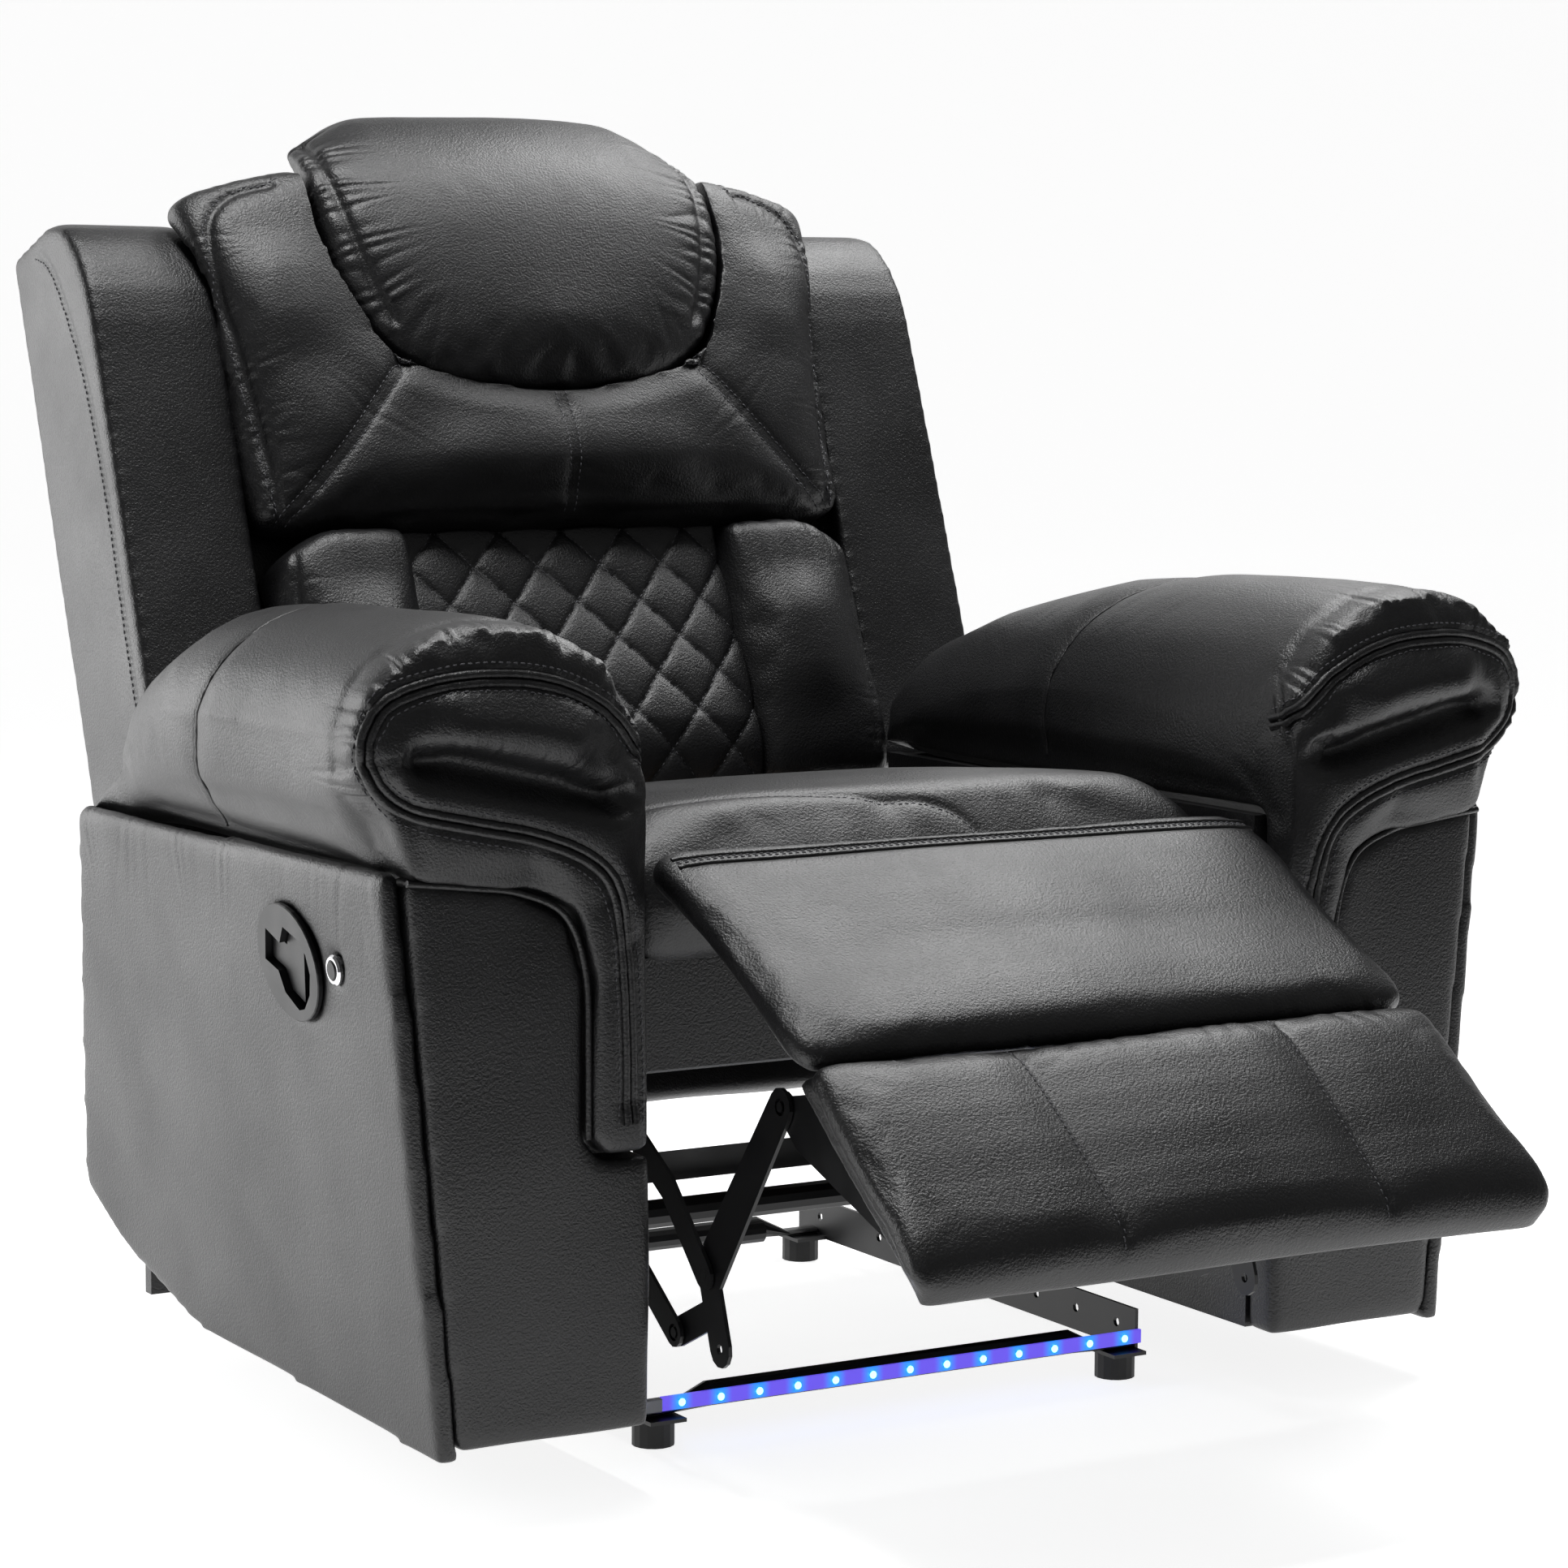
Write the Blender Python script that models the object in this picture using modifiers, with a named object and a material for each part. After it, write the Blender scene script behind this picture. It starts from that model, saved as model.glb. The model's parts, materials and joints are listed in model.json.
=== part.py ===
"""Home theater recliner with padded arms, a quilted back and a folding footrest.

Metres, +Z up. The chair faces -Y and the floor is z = 0. The origin lies under the
middle of the chair as it stands in its rest pose: back upright, footrest partly open.
"""
import bpy
import bmesh
from math import atan2, cos, pi, radians, sin, sqrt
from mathutils import Matrix, Vector

# Driving sizes of the seat
SEAT_HALF_WIDTH = 0.270
SEAT_TO_ARM_GAP = 0.013
SEAT_TOP = 0.500
SEAT_REAR_DROP = 0.058
SEAT_UNDERSIDE = 0.385
SEAT_BACK_END = 0.556
SEAT_CREST_SHARE = 0.55
SEAT_EDGE_SHARE = 0.16
SEAT_RAIL_WALL = 0.018
SEAT_RAIL_TO_ARM = 0.068
SEAT_RAIL_BOTTOM = 0.3345
SPRING_WIRE_RADIUS = 0.0018
SPRING_RUNS = 8
SPRING_TURN_SHARE = 0.3
APRON_SETBACK = 0.022
APRON_WALL = 0.006
APRON_BOTTOM = 0.296

# Driving sizes of the arms
ARM_INNER_PANEL_WALL = 0.012
ARM_OUTER_PANEL_WALL = 0.016
ARM_FRONT_WALL = 0.0345
ARM_WIDTH_TOP = 0.212
ARM_WIDTH_BOTTOM = 0.172
ARM_BOTTOM = 0.043
ARM_FRONT_BOTTOM = 0.050
ARM_PANEL_TOP = 0.463
ARM_PANEL_LENGTH = 0.648
ARM_INNER_PANEL_END = 0.580
ARM_ROLL_TOP = 0.646
ARM_ROLL_LENGTH = 0.600
ROLL_END_ROUND = 0.065
ARM_PAD_BULGE = 0.012
ARM_PAD_ROUND = 0.009
WELT_RADIUS = 0.0045
OUTER_PANEL_SHARES = ((0.0, 0.0), (0.674, 0.029), (0.86, 0.10), (1.0, 0.212), (0.952, 0.60),
                      (0.898, 0.979), (0.015, 1.0))
ARM_PAD_TOP_SHARES = ((0.0, 0.774), (0.035, 0.867), (0.19, 0.952), (0.42, 0.991), (0.67, 1.0),
                      (0.89, 0.981), (1.08, 0.932), (1.15, 0.876), (1.12, 0.82), (1.01, 0.779))
ARM_SEAM_SHARES = ((0.94, 0.718), (0.51, 0.697), (0.32, 0.664), (0.25, 0.588), (0.25, 0.41),
                   (0.19, 0.387), (0.0, 0.387))
WELT_SHARES = ((0.035, 0.834), (0.21, 0.903), (0.59, 0.937), (0.90, 0.925), (1.09, 0.868),
               (1.05, 0.812), (0.906, 0.785), (0.604, 0.769), (0.325, 0.740), (0.137, 0.689),
               (0.09, 0.590), (0.09, 0.43))
ROLL_RING_SHARES = ((0.0, 0.0), (0.0, 0.19), (0.035, 0.525), (0.10, 0.70), (0.19, 0.83),
                    (0.30, 0.92), (0.42, 0.97), (0.55, 1.0), (0.67, 1.0), (0.80, 0.97),
                    (0.93, 0.90), (1.08, 0.757), (1.15, 0.558), (1.12, 0.36), (1.01, 0.21),
                    (0.94, 0.0))
ROLL_RISE_SHARES = ((0.0, 1.0, 1.0), (0.12, 1.0, 1.0), (0.37, 0.975, 1.0), (0.575, 0.915, 0.97),
                    (0.68, 0.84, 0.92), (0.82, 0.74, 0.82), (0.95, 0.58, 0.68), (1.0, 0.40, 0.50))

# Driving sizes of the footrest
CHAISE_ANGLE = radians(29.0)
OTTOMAN_ANGLE = radians(38.5)
CHAISE_LENGTH = 0.2225
CHAISE_THICKNESS = 0.049
CHAISE_UNDERSIDE = 0.002
CHAISE_END = 0.008
OTTOMAN_LENGTH = 0.2175
OTTOMAN_BOARD_WALL = 0.010
OTTOMAN_PAD_SEAT = 0.004
OTTOMAN_PAD_TOP = 0.033
OTTOMAN_TOE_SHARE = 0.45
OTTOMAN_HEAD_SHARE = 0.80
OTTOMAN_HEAD_SLANT = 0.0050
FOOTREST_HINGE_BACK = 0.0286
FOOTREST_HINGE_HEIGHT = 0.4453
FOLD_GAP = 0.0011
PAD_CROWN = 0.010
PAD_SEAM_DEPTH = 0.005
OTTOMAN_SEAM_SHARES = (-0.378, 0.467)
OTTOMAN_FLARE = 0.008
SEAM_SPREAD = 0.030
BOARD_SETBACK = 0.004
PULL_SHARE = 0.022
OTTOMAN_EDGE_SHARES = (-1, -0.86, 0.86, 1)
END_DEPTH_SHARE = 0.80
END_REACH_SHARE = 0.78
END_TIP_SHARE = 1.05

# Driving sizes of the back
RECLINE_PIVOT_BACK = 0.560
RECLINE_PIVOT_HEIGHT = 0.300
BACK_LEAN = radians(20.0)
WING_TOP = 0.690
WING_BOTTOM = 0.165
WING_FRONT = -0.012
WING_REAR = 0.146
WING_WIDTH = 0.1185
WING_TO_ARM = 0.0085
WING_CORNER_DEPTH = 0.075
WING_CORNER_HEIGHT = 0.110
WING_ROUND = 0.014
BACK_PANEL_WALL = 0.036
BACK_PANEL_BOTTOM = -0.110
BACK_PANEL_TOP = 0.672
BATTEN_WALL = 0.018
BACK_FRAME_FRONT = 0.034
BACK_FRAME_WALL = 0.018
BACK_FRAME_BOTTOM = 0.020
BACK_FRAME_TOP = 0.672
BRACKET_PLATE_WIDTH = 0.030
BRACKET_PLATE_BOTTOM = 0.030
BRACKET_PLATE_TOP = 0.130
HEAD_TOP = 0.785
HEAD_BOTTOM = 0.500
HEAD_WIDTH_SHARE = 0.686
HEAD_BULGE = 0.068
HEAD_CORNER_RISE = 0.036
HEAD_LEAN_BACK = 0.050
HEAD_TOP_FALL = 0.078
HEAD_BOTTOM_WIDTH_SHARE = 0.76
HEAD_TOP_WIDTH_SHARE = 0.97
HEAD_CORNER_DROP = 0.012
HEAD_SIDE_FALL_SHARE = 0.3
HEAD_TOP_POWER = 2.5
SHOULDER_TOP = 0.714
SHOULDER_BOTTOM = 0.387
SHOULDER_CROWN = 0.018
SHOULDER_OVERLAP = 0.0265
SHOULDER_TAPER = 0.030
SHOULDER_BULGE = 0.056
SHOULDER_SIDE_FALL_SHARE = 0.45
SHOULDER_TOP_FALL_SHARE = 0.5
RECESS_DEPTH = 0.010
LUMBAR_BOTTOM = 0.140
LUMBAR_BULGE = 0.048
LUMBAR_TOP_BULGE = 0.018
QUILT_WIDTH_SHARE = 0.5317
QUILT_HEIGHT = 0.010
DIAMONDS_ACROSS = 5
DIAMONDS_HIGH = 3.5
BOLSTER_TO_ARM = 0.0018
BOLSTER_BULGE = 0.060
LUMBAR_CREST_SHARE = -0.5
LUMBAR_FOOT_SHARE = 1.2
SIDE_FALL_SHARE = 0.2
PILLOW_SHARES = (-1, -0.75, -0.2, 0.35, 0.8, 1)
BOLSTER_SHARES = (-1, -0.7, 0, 0.7, 1)

# Driving sizes of the steel work
FOOT_RADIUS = 0.0165
FOOT_HEIGHT = 0.020
FOOT_TO_ARM = 0.068
FRONT_FOOT_BACK = 0.119
REAR_FOOT_BACK = 0.615
RAIL_HEIGHT = 0.035
RAIL_WALL = 0.003
RAIL_TO_LINK_GAP = 0.0015
RAIL_START = 0.110
RAIL_END = 0.640
RAIL_TAB_LENGTH = 0.046
RAIL_HOLE_SHARES = (0.05, 0.16, 0.27, 0.45, 0.63, 0.74, 0.93)
PLATE_WALL = 0.003
PLATE_EDGE = 0.019
PLATE_LEG_FRONT = 0.022
PLATE_LEG_REAR = 0.018
SPACER_SIZE = 0.050
LINK_WALL = 0.003
LINKS_TO_ARM = 0.050
LINK_LAYER_GAP = 0.0008
LINK_RADIUS = 0.011
LINK_BEND = 0.012
LINK_BEND_SHARE = 0.6
CARRIER_RADIUS = 0.014
CARRIER_TOE_BACK = -0.018
CARRIER_TOE_DROP = 0.052
PIN_RADIUS = 0.004
PIN_HEAD_RADIUS = 0.0075
PIN_HEAD_HEIGHT = 0.002
OPEN_PIVOT_CLEARANCE = 0.0026
UPPER_PIVOT_BACK = 0.149
UPPER_PIVOT_HEIGHT = 0.274
UPPER_LINK_LENGTH = 0.193
UPPER_LINK_ANGLE = radians(-143.5)
LOWER_PIVOT_BACK = 0.195
LOWER_PIVOT_HEIGHT = 0.216
CARRIER_FOOT_BACK = 0.044
CARRIER_FOOT_DROP = 0.052
STOP_RADIUS = 0.008
STOP_LENGTH = 0.028
STOP_PLACE_SHARE = 0.24
BRACKET_PIN_ALONG = -0.02291
BRACKET_PIN_BEHIND = 0.06533
BRACKET_END_SHARE = 0.75
BRACKET_STEP = 0.016
BRACKET_FLANGE = 0.028
TUBE_RADIUS = 0.010
TUBE_FLAT_SHARE = 0.25
TORQUE_TUBE_RADIUS = 0.012
TORQUE_TUBE_BACK = 0.350
TORQUE_TUBE_HEIGHT = 0.122
CROSS_BRACE_BACK = 0.420
CROSS_BRACE_HEIGHT = 0.147
CROSS_BRACE_SIZE = 0.025

# Driving sizes of the controls and the light
BEZEL_BACK = 0.174
BEZEL_HEIGHT = 0.385
BEZEL_LONG_RADIUS = 0.053
BEZEL_SHORT_RADIUS = 0.0415
BEZEL_TILT = radians(20.0)
BEZEL_RIM = 0.0045
BEZEL_LIP = 0.006
BEZEL_CUP_DEPTH = 0.024
BEZEL_FLOOR = 0.004
LEVER_WALL = 0.005
LEVER_SINK = 0.0008
LEVER_GAP = 0.0018
LEVER_AXIS_SHARE = 0.585
LEVER_PIN_LOW_SHARE = -0.11
LEVER_PIN_HIGH_SHARE = 0.41
LEVER_PIN_RADIUS = 0.0015
LEVER_SHARES = ((0.62, 0.36), (0.19, 0.21), (0.04, 0.45), (-0.37, 0.21), (-0.26, -0.55),
                (0.13, -0.415), (0.30, -0.13), (0.70, -0.02))
FINGER_POCKET_SHARES = ((-0.38, 0.38), (-0.64, 0.19), (-0.735, -0.075), (-0.66, -0.375),
                        (-0.45, -0.60), (-0.265, -0.64))
BUTTON_BACK = 0.099
BUTTON_HEIGHT = 0.389
BUTTON_RING_RADIUS = 0.0114
BUTTON_RING_LIP = 0.003
BUTTON_BODY_RADIUS = 0.0095
BUTTON_BODY_DEPTH = 0.012
BUTTON_FLOOR = 0.003
BUTTON_CAP_RADIUS = 0.0075
BUTTON_CAP_DEPTH = 0.006
BUTTON_CAP_RISE = 0.002
CABLE_RADIUS = 0.0025
CABLE_END_BACK = 0.328
CABLE_END_HEIGHT = 0.245
CABLE_BENDS = ((0.132, 0.195, 0.367), (0.082, 0.260, 0.300), (0.057, 0.305, 0.260))
STRIP_HEIGHT = 0.011
STRIP_WALL = 0.003
LED_COUNT = 13
LED_SIZE = 0.005
LED_RISE = 0.0014
CONNECTOR_LENGTH = 0.016
CONNECTOR_WALL = 0.006

# Clearances and rounding shared by all pieces
TOUCH = 0.0003
SOFT_GAP = 0.0012
OVERRUN = 0.002
EDGE_ROUND = 0.002
TOE_ROUNDING = 0.0050
WING_TIP_ROUNDING = 0.0010
HINGE_GAP = 0.0016
SMOOTH_ANGLE = radians(50)
SHARP_ANGLE = radians(60)
WIDE_SHARES = (-1, -0.84, -0.42, 0, 0.42, 0.84, 1)
LONG_SHARES = (-1, -0.8, -0.3, 0.3, 0.8, 1)
SLAB_SHARES = (-1, -0.72, 0, 0.72, 1)

# Places worked out from the driving sizes
ARM_INNER = SEAT_HALF_WIDTH + SEAT_TO_ARM_GAP
SEAT_RAIL_OUTER = ARM_INNER - SEAT_RAIL_TO_ARM
FOOT_SIDE = ARM_INNER - FOOT_TO_ARM
WING_INNER = ARM_INNER + WING_TO_ARM
WING_OUTER = WING_INNER + WING_WIDTH
HEAD_HALF_WIDTH = WING_INNER * HEAD_WIDTH_SHARE
SHOULDER_HALF_WIDTH_TOP = WING_INNER + SHOULDER_OVERLAP
SHOULDER_HALF_WIDTH_BOTTOM = SHOULDER_HALF_WIDTH_TOP - SHOULDER_TAPER
QUILT_HALF_WIDTH = WING_INNER * QUILT_WIDTH_SHARE
BOLSTER_OUTER = ARM_INNER - BOLSTER_TO_ARM
OTTOMAN_SEAMS = [SEAT_HALF_WIDTH * share for share in OTTOMAN_SEAM_SHARES]
ARM_OUTER_TOP = ARM_INNER + ARM_WIDTH_TOP
ARM_OUTER_BOTTOM = ARM_INNER + ARM_WIDTH_BOTTOM
ARM_FLARE = atan2(ARM_OUTER_TOP - ARM_OUTER_BOTTOM, ARM_PANEL_TOP - ARM_BOTTOM)
PAD_RADIUS = CHAISE_THICKNESS / 2
FOLD_BACK = FOOTREST_HINGE_BACK - CHAISE_LENGTH * cos(CHAISE_ANGLE)
FOLD_HEIGHT = FOOTREST_HINGE_HEIGHT - CHAISE_LENGTH * sin(CHAISE_ANGLE)
TOE_REACH = (OTTOMAN_LENGTH * cos(OTTOMAN_ANGLE) + PAD_RADIUS * sin(OTTOMAN_ANGLE)
             - FOLD_BACK - TOE_ROUNDING)
BACK_REACH = (RECLINE_PIVOT_BACK + WING_TOP * sin(BACK_LEAN) + WING_REAR * cos(BACK_LEAN)
              - WING_TIP_ROUNDING)
FRONT_Y = (TOE_REACH - BACK_REACH) / 2
LAYER_PITCH = LINK_WALL + LINK_LAYER_GAP
BRACKET_LAYER = ARM_INNER - LINKS_TO_ARM
CARRIER_LAYER = BRACKET_LAYER + LAYER_PITCH
LINK_LAYER = CARRIER_LAYER + LAYER_PITCH
PLATE_LAYER = LINK_LAYER + LAYER_PITCH
RAIL_LAYER = BRACKET_LAYER - RAIL_TO_LINK_GAP - RAIL_WALL
RECLINE_LAYER = PLATE_LAYER + PLATE_WALL + LINK_LAYER_GAP
EYE_RADIUS = PIN_RADIUS + TOUCH
OPEN_EYE_RADIUS = PIN_RADIUS + OPEN_PIVOT_CLEARANCE
SEAT_SEAM_HEIGHT = SEAT_UNDERSIDE + (SEAT_TOP - SEAT_UNDERSIDE) * (1 - SEAT_EDGE_SHARE) / 2
SEAT_FRONT_BACK = FOOTREST_HINGE_BACK + sqrt((PAD_RADIUS + HINGE_GAP) ** 2
                                             - (FOOTREST_HINGE_HEIGHT - SEAT_SEAM_HEIGHT) ** 2)
BACK_PAD_REAR = TOUCH - BACK_FRAME_FRONT
TAB_BOTTOM = FOOT_HEIGHT + TOUCH
TAB_TOP = TAB_BOTTOM + RAIL_WALL
TUBE_HEIGHT = TAB_TOP + TOUCH + TUBE_RADIUS
RAIL_TOP = TAB_BOTTOM + RAIL_HEIGHT
FLANGE_TOP = SEAT_RAIL_BOTTOM - TOUCH
ROLL_BOTTOM = ARM_PANEL_TOP + ARM_OUTER_PANEL_WALL * sin(ARM_FLARE) + TOUCH


def at(x, back, height):
    """A place given by its side offset, its distance behind the arm fronts and its height."""
    return Vector((x, FRONT_Y + back, height))


def joint_place(start, length, angle):
    """The far end of a link, as (back, height), from its pivot, length and angle."""
    return start[0] + length * cos(angle), start[1] + length * sin(angle)


UPPER_PIVOT = (UPPER_PIVOT_BACK, UPPER_PIVOT_HEIGHT)
LOWER_PIVOT = (LOWER_PIVOT_BACK, LOWER_PIVOT_HEIGHT)
CARRIER_PIVOT = joint_place(UPPER_PIVOT, UPPER_LINK_LENGTH, UPPER_LINK_ANGLE)
CARRIER_FOOT = (CARRIER_PIVOT[0] + CARRIER_FOOT_BACK, CARRIER_PIVOT[1] - CARRIER_FOOT_DROP)
BRACKET_PIN = (
    FOLD_BACK - BRACKET_PIN_ALONG * cos(OTTOMAN_ANGLE) + BRACKET_PIN_BEHIND * sin(OTTOMAN_ANGLE),
    FOLD_HEIGHT - BRACKET_PIN_ALONG * sin(OTTOMAN_ANGLE) - BRACKET_PIN_BEHIND * cos(OTTOMAN_ANGLE),
)
RECLINE_PIVOT = (RECLINE_PIVOT_BACK, RECLINE_PIVOT_HEIGHT)

# Frames of the moving bodies and of flat work
CHAIR = Matrix.Translation(at(0, 0, 0))
SIDE_PLANE = Matrix(((0, 0, 1, 0), (1, 0, 0, 0), (0, 1, 0, 0), (0, 0, 0, 1)))
FRONT_PLANE = Matrix(((1, 0, 0, 0), (0, 0, -1, 0), (0, 1, 0, 0), (0, 0, 0, 1)))
CHAISE_FRAME = (Matrix.Translation(at(0, FOOTREST_HINGE_BACK, FOOTREST_HINGE_HEIGHT))
                @ Matrix.Rotation(CHAISE_ANGLE, 4, "X"))
OTTOMAN_FRAME = (Matrix.Translation(at(0, FOLD_BACK, FOLD_HEIGHT))
                 @ Matrix.Rotation(OTTOMAN_ANGLE, 4, "X"))
BACK_FRAME = (Matrix.Translation(at(0, *RECLINE_PIVOT))
              @ Matrix.Rotation(-BACK_LEAN, 4, "X"))
BACK_PAD_FRAME = BACK_FRAME @ Matrix.Rotation(pi / 2, 4, "X")
ARM_PANEL_FRAME = (Matrix.Translation(at(ARM_OUTER_BOTTOM, 0, ARM_BOTTOM))
                   @ Matrix.Rotation(ARM_FLARE, 4, "Y") @ SIDE_PLANE)
BEZEL_CENTRE = (BEZEL_BACK, (BEZEL_HEIGHT - ARM_BOTTOM) / cos(ARM_FLARE))
BUTTON_CENTRE = (BUTTON_BACK, (BUTTON_HEIGHT - ARM_BOTTOM) / cos(ARM_FLARE))

for old in list(bpy.data.objects):
    bpy.data.objects.remove(old, do_unlink=True)
parts = bpy.data.collections.new("home_theater_recliner")
bpy.context.scene.collection.children.link(parts)


def paint(name, colour, roughness, metallic=0.0):
    """A plain finish: base colour, roughness and how metallic it is."""
    material = bpy.data.materials.new(name)
    material.use_nodes = True
    shader = material.node_tree.nodes["Principled BSDF"]
    shader.inputs["Base Color"].default_value = (*colour, 1.0)
    shader.inputs["Roughness"].default_value = roughness
    shader.inputs["Metallic"].default_value = metallic
    return material


FINISHES = {
    "leather": ((0.016, 0.016, 0.018), 0.42, 0.0),
    "steel": ((0.012, 0.012, 0.013), 0.38, 0.6),
    "wood": ((0.36, 0.25, 0.15), 0.65, 0.0),
    "plastic": ((0.022, 0.022, 0.024), 0.45, 0.0),
    "rubber": ((0.012, 0.012, 0.012), 0.8, 0.0),
    "chrome": ((0.85, 0.85, 0.86), 0.12, 1.0),
    "light": ((0.10, 0.16, 0.95), 0.4, 0.0),
    "connector": ((0.82, 0.83, 0.86), 0.45, 0.0),
}


def finish(thing, kind):
    """Give one piece a finish of its own."""
    colour, roughness, metallic = FINISHES[kind]
    thing.data.materials.clear()
    thing.data.materials.append(paint(thing.name, colour, roughness, metallic))
    return thing


def add_mesh(name, bm, frame, kind, smooth=True):
    """Turn a bmesh into a finished piece that stands at frame."""
    mesh = bpy.data.meshes.new(name)
    bmesh.ops.recalc_face_normals(bm, faces=bm.faces[:])
    bm.to_mesh(mesh)
    bm.free()
    thing = bpy.data.objects.new(name, mesh)
    parts.objects.link(thing)
    thing.matrix_world = frame
    if smooth:
        mesh.shade_smooth()
        mesh.set_sharp_from_angle(angle=SMOOTH_ANGLE)
    return finish(thing, kind)


def axis_empty(name, frame):
    """An empty on a joint's axis, for the pieces that swing about it."""
    empty = bpy.data.objects.new(name, None)
    parts.objects.link(empty)
    empty.matrix_world = frame
    return empty


def hang(thing, axis):
    """Parent a piece to its axis without moving it."""
    bpy.context.view_layer.update()
    world = thing.matrix_world.copy()
    thing.parent = axis
    thing.matrix_parent_inverse = axis.matrix_world.inverted()
    thing.matrix_world = world
    return thing


def to_mesh(thing):
    """Replace a curve, or a piece with modifiers, by its own welded mesh."""
    bpy.context.view_layer.update()
    graph = bpy.context.evaluated_depsgraph_get()
    mesh = bpy.data.meshes.new_from_object(thing.evaluated_get(graph), depsgraph=graph)
    bm = bmesh.new()
    bm.from_mesh(mesh)
    bmesh.ops.remove_doubles(bm, verts=bm.verts[:], dist=TOUCH / 10)
    bmesh.ops.recalc_face_normals(bm, faces=bm.faces[:])
    bm.to_mesh(mesh)
    bm.free()
    name = thing.name
    frame = thing.matrix_world.copy()
    bpy.data.objects.remove(thing, do_unlink=True)
    solid = bpy.data.objects.new(name, mesh)
    parts.objects.link(solid)
    solid.matrix_world = frame
    return solid


def mirror_copy(source, name, kind):
    """The matching piece on the other side of the chair."""
    bpy.context.view_layer.update()
    graph = bpy.context.evaluated_depsgraph_get()
    mesh = bpy.data.meshes.new_from_object(source.evaluated_get(graph), depsgraph=graph)
    world = source.matrix_world
    flip = Matrix.Diagonal((-1, 1, 1, 1))
    spot = Matrix.Translation(flip @ world.translation)
    mesh.transform(spot.inverted() @ flip @ world)
    mesh.flip_normals()
    twin = bpy.data.objects.new(name, mesh)
    parts.objects.link(twin)
    twin.matrix_world = spot
    return finish(twin, kind)


def pair(source, stem, kind, axis=None):
    """Finish a left piece, add its right twin, and hang both on their axis."""
    source.name = stem + "_left"
    finish(source, kind)
    twin = mirror_copy(source, stem + "_right", kind)
    if axis:
        hang(source, axis)
        hang(twin, axis)
    return source, twin


def box(name, low, high, kind, frame=Matrix.Identity(4), rounding=EDGE_ROUND):
    """A block between two corners, with its edges eased."""
    bm = bmesh.new()
    bmesh.ops.create_cube(bm, size=1.0)
    middle = (Vector(low) + Vector(high)) / 2
    size = Vector(high) - Vector(low)
    bmesh.ops.transform(bm, matrix=Matrix.Translation(middle) @ Matrix.Diagonal((*size, 1)),
                        verts=bm.verts[:])
    thing = add_mesh(name, bm, frame, kind)
    if rounding:
        ease_edges(thing, rounding, 1)
    return thing


def ease_edges(thing, width, segments):
    """Round the sharp edges of a piece."""
    bevel = thing.modifiers.new("eased_edges", "BEVEL")
    bevel.width = width
    bevel.segments = segments
    bevel.limit_method = "ANGLE"
    bevel.angle_limit = SHARP_ANGLE
    return thing


def flat(name, outlines, wall, frame, kind):
    """A plate of even wall from an outline and its holes, centred on frame's plane."""
    curve = bpy.data.curves.new(name, "CURVE")
    curve.dimensions = "2D"
    curve.fill_mode = "BOTH"
    curve.extrude = wall / 2
    for outline in outlines:
        spline = curve.splines.new("POLY")
        spline.points.add(len(outline) - 1)
        for point, place in zip(spline.points, outline):
            point.co = (place[0], place[1], 0.0, 1.0)
        spline.use_cyclic_u = True
    thing = bpy.data.objects.new(name, curve)
    parts.objects.link(thing)
    thing.matrix_world = frame
    return finish(to_mesh(thing), kind)


def tube(name, places, radius, kind, sides):
    """A round bar or wire along places, with closed ends."""
    curve = bpy.data.curves.new(name, "CURVE")
    curve.dimensions = "3D"
    curve.bevel_depth = radius
    curve.bevel_resolution = sides
    curve.use_fill_caps = True
    spline = curve.splines.new("POLY")
    spline.points.add(len(places) - 1)
    for point, place in zip(spline.points, places):
        point.co = (*place, 1.0)
    thing = bpy.data.objects.new(name, curve)
    parts.objects.link(thing)
    solid = finish(to_mesh(thing), kind)
    solid.data.shade_smooth()
    solid.data.set_sharp_from_angle(angle=SMOOTH_ANGLE)
    return solid


def smooth(places, steps):
    """Places along a smooth curve through the given ones."""
    knots = [Vector(place) for place in places]
    route = [knots[0]]
    for k in range(len(knots) - 1):
        start, end = knots[k], knots[k + 1]
        before = knots[max(k - 1, 0)]
        after = knots[min(k + 2, len(knots) - 1)]
        for step in range(1, steps + 1):
            t = step / steps
            lead = (end - before) * (t - 2 * t ** 2 + t ** 3) / 2
            trail = (after - start) * (t ** 3 - t ** 2) / 2
            route.append(start * (1 - 3 * t ** 2 + 2 * t ** 3) + end * (3 * t ** 2 - 2 * t ** 3)
                         + lead + trail)
    return route


def turned(name, profile, frame, kind, steps=24):
    """A turned solid: a closed (radius, height) profile that starts and ends on the axis."""
    bm = bmesh.new()
    corners = [bm.verts.new((radius, 0, height)) for radius, height in profile]
    for start, end in zip(corners, corners[1:]):
        bm.edges.new((start, end))
    thing = add_mesh(name, bm, frame, kind)
    spin = thing.modifiers.new("turned", "SCREW")
    spin.steps = steps
    spin.render_steps = steps
    spin.use_merge_vertices = True
    spin.merge_threshold = TOUCH / 10
    return round_off(finish(to_mesh(thing), kind))


def round_off(thing):
    """Shade a round piece smooth between its real edges."""
    thing.data.shade_smooth()
    thing.data.set_sharp_from_angle(angle=SMOOTH_ANGLE)
    return thing


def circle(centre, radius, count=12, start=0.0):
    """Points round a circle in a flat outline."""
    return [(centre[0] + radius * cos(start + 2 * pi * k / count),
             centre[1] + radius * sin(start + 2 * pi * k / count)) for k in range(count)]


def arc(centre, radius, start, end, count, second_radius=None):
    """Points along an arc, both ends included; a second radius makes it part of an oval."""
    rise = second_radius or radius
    return [(centre[0] + radius * cos(start + (end - start) * k / count),
             centre[1] + rise * sin(start + (end - start) * k / count))
            for k in range(count + 1)]


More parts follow.
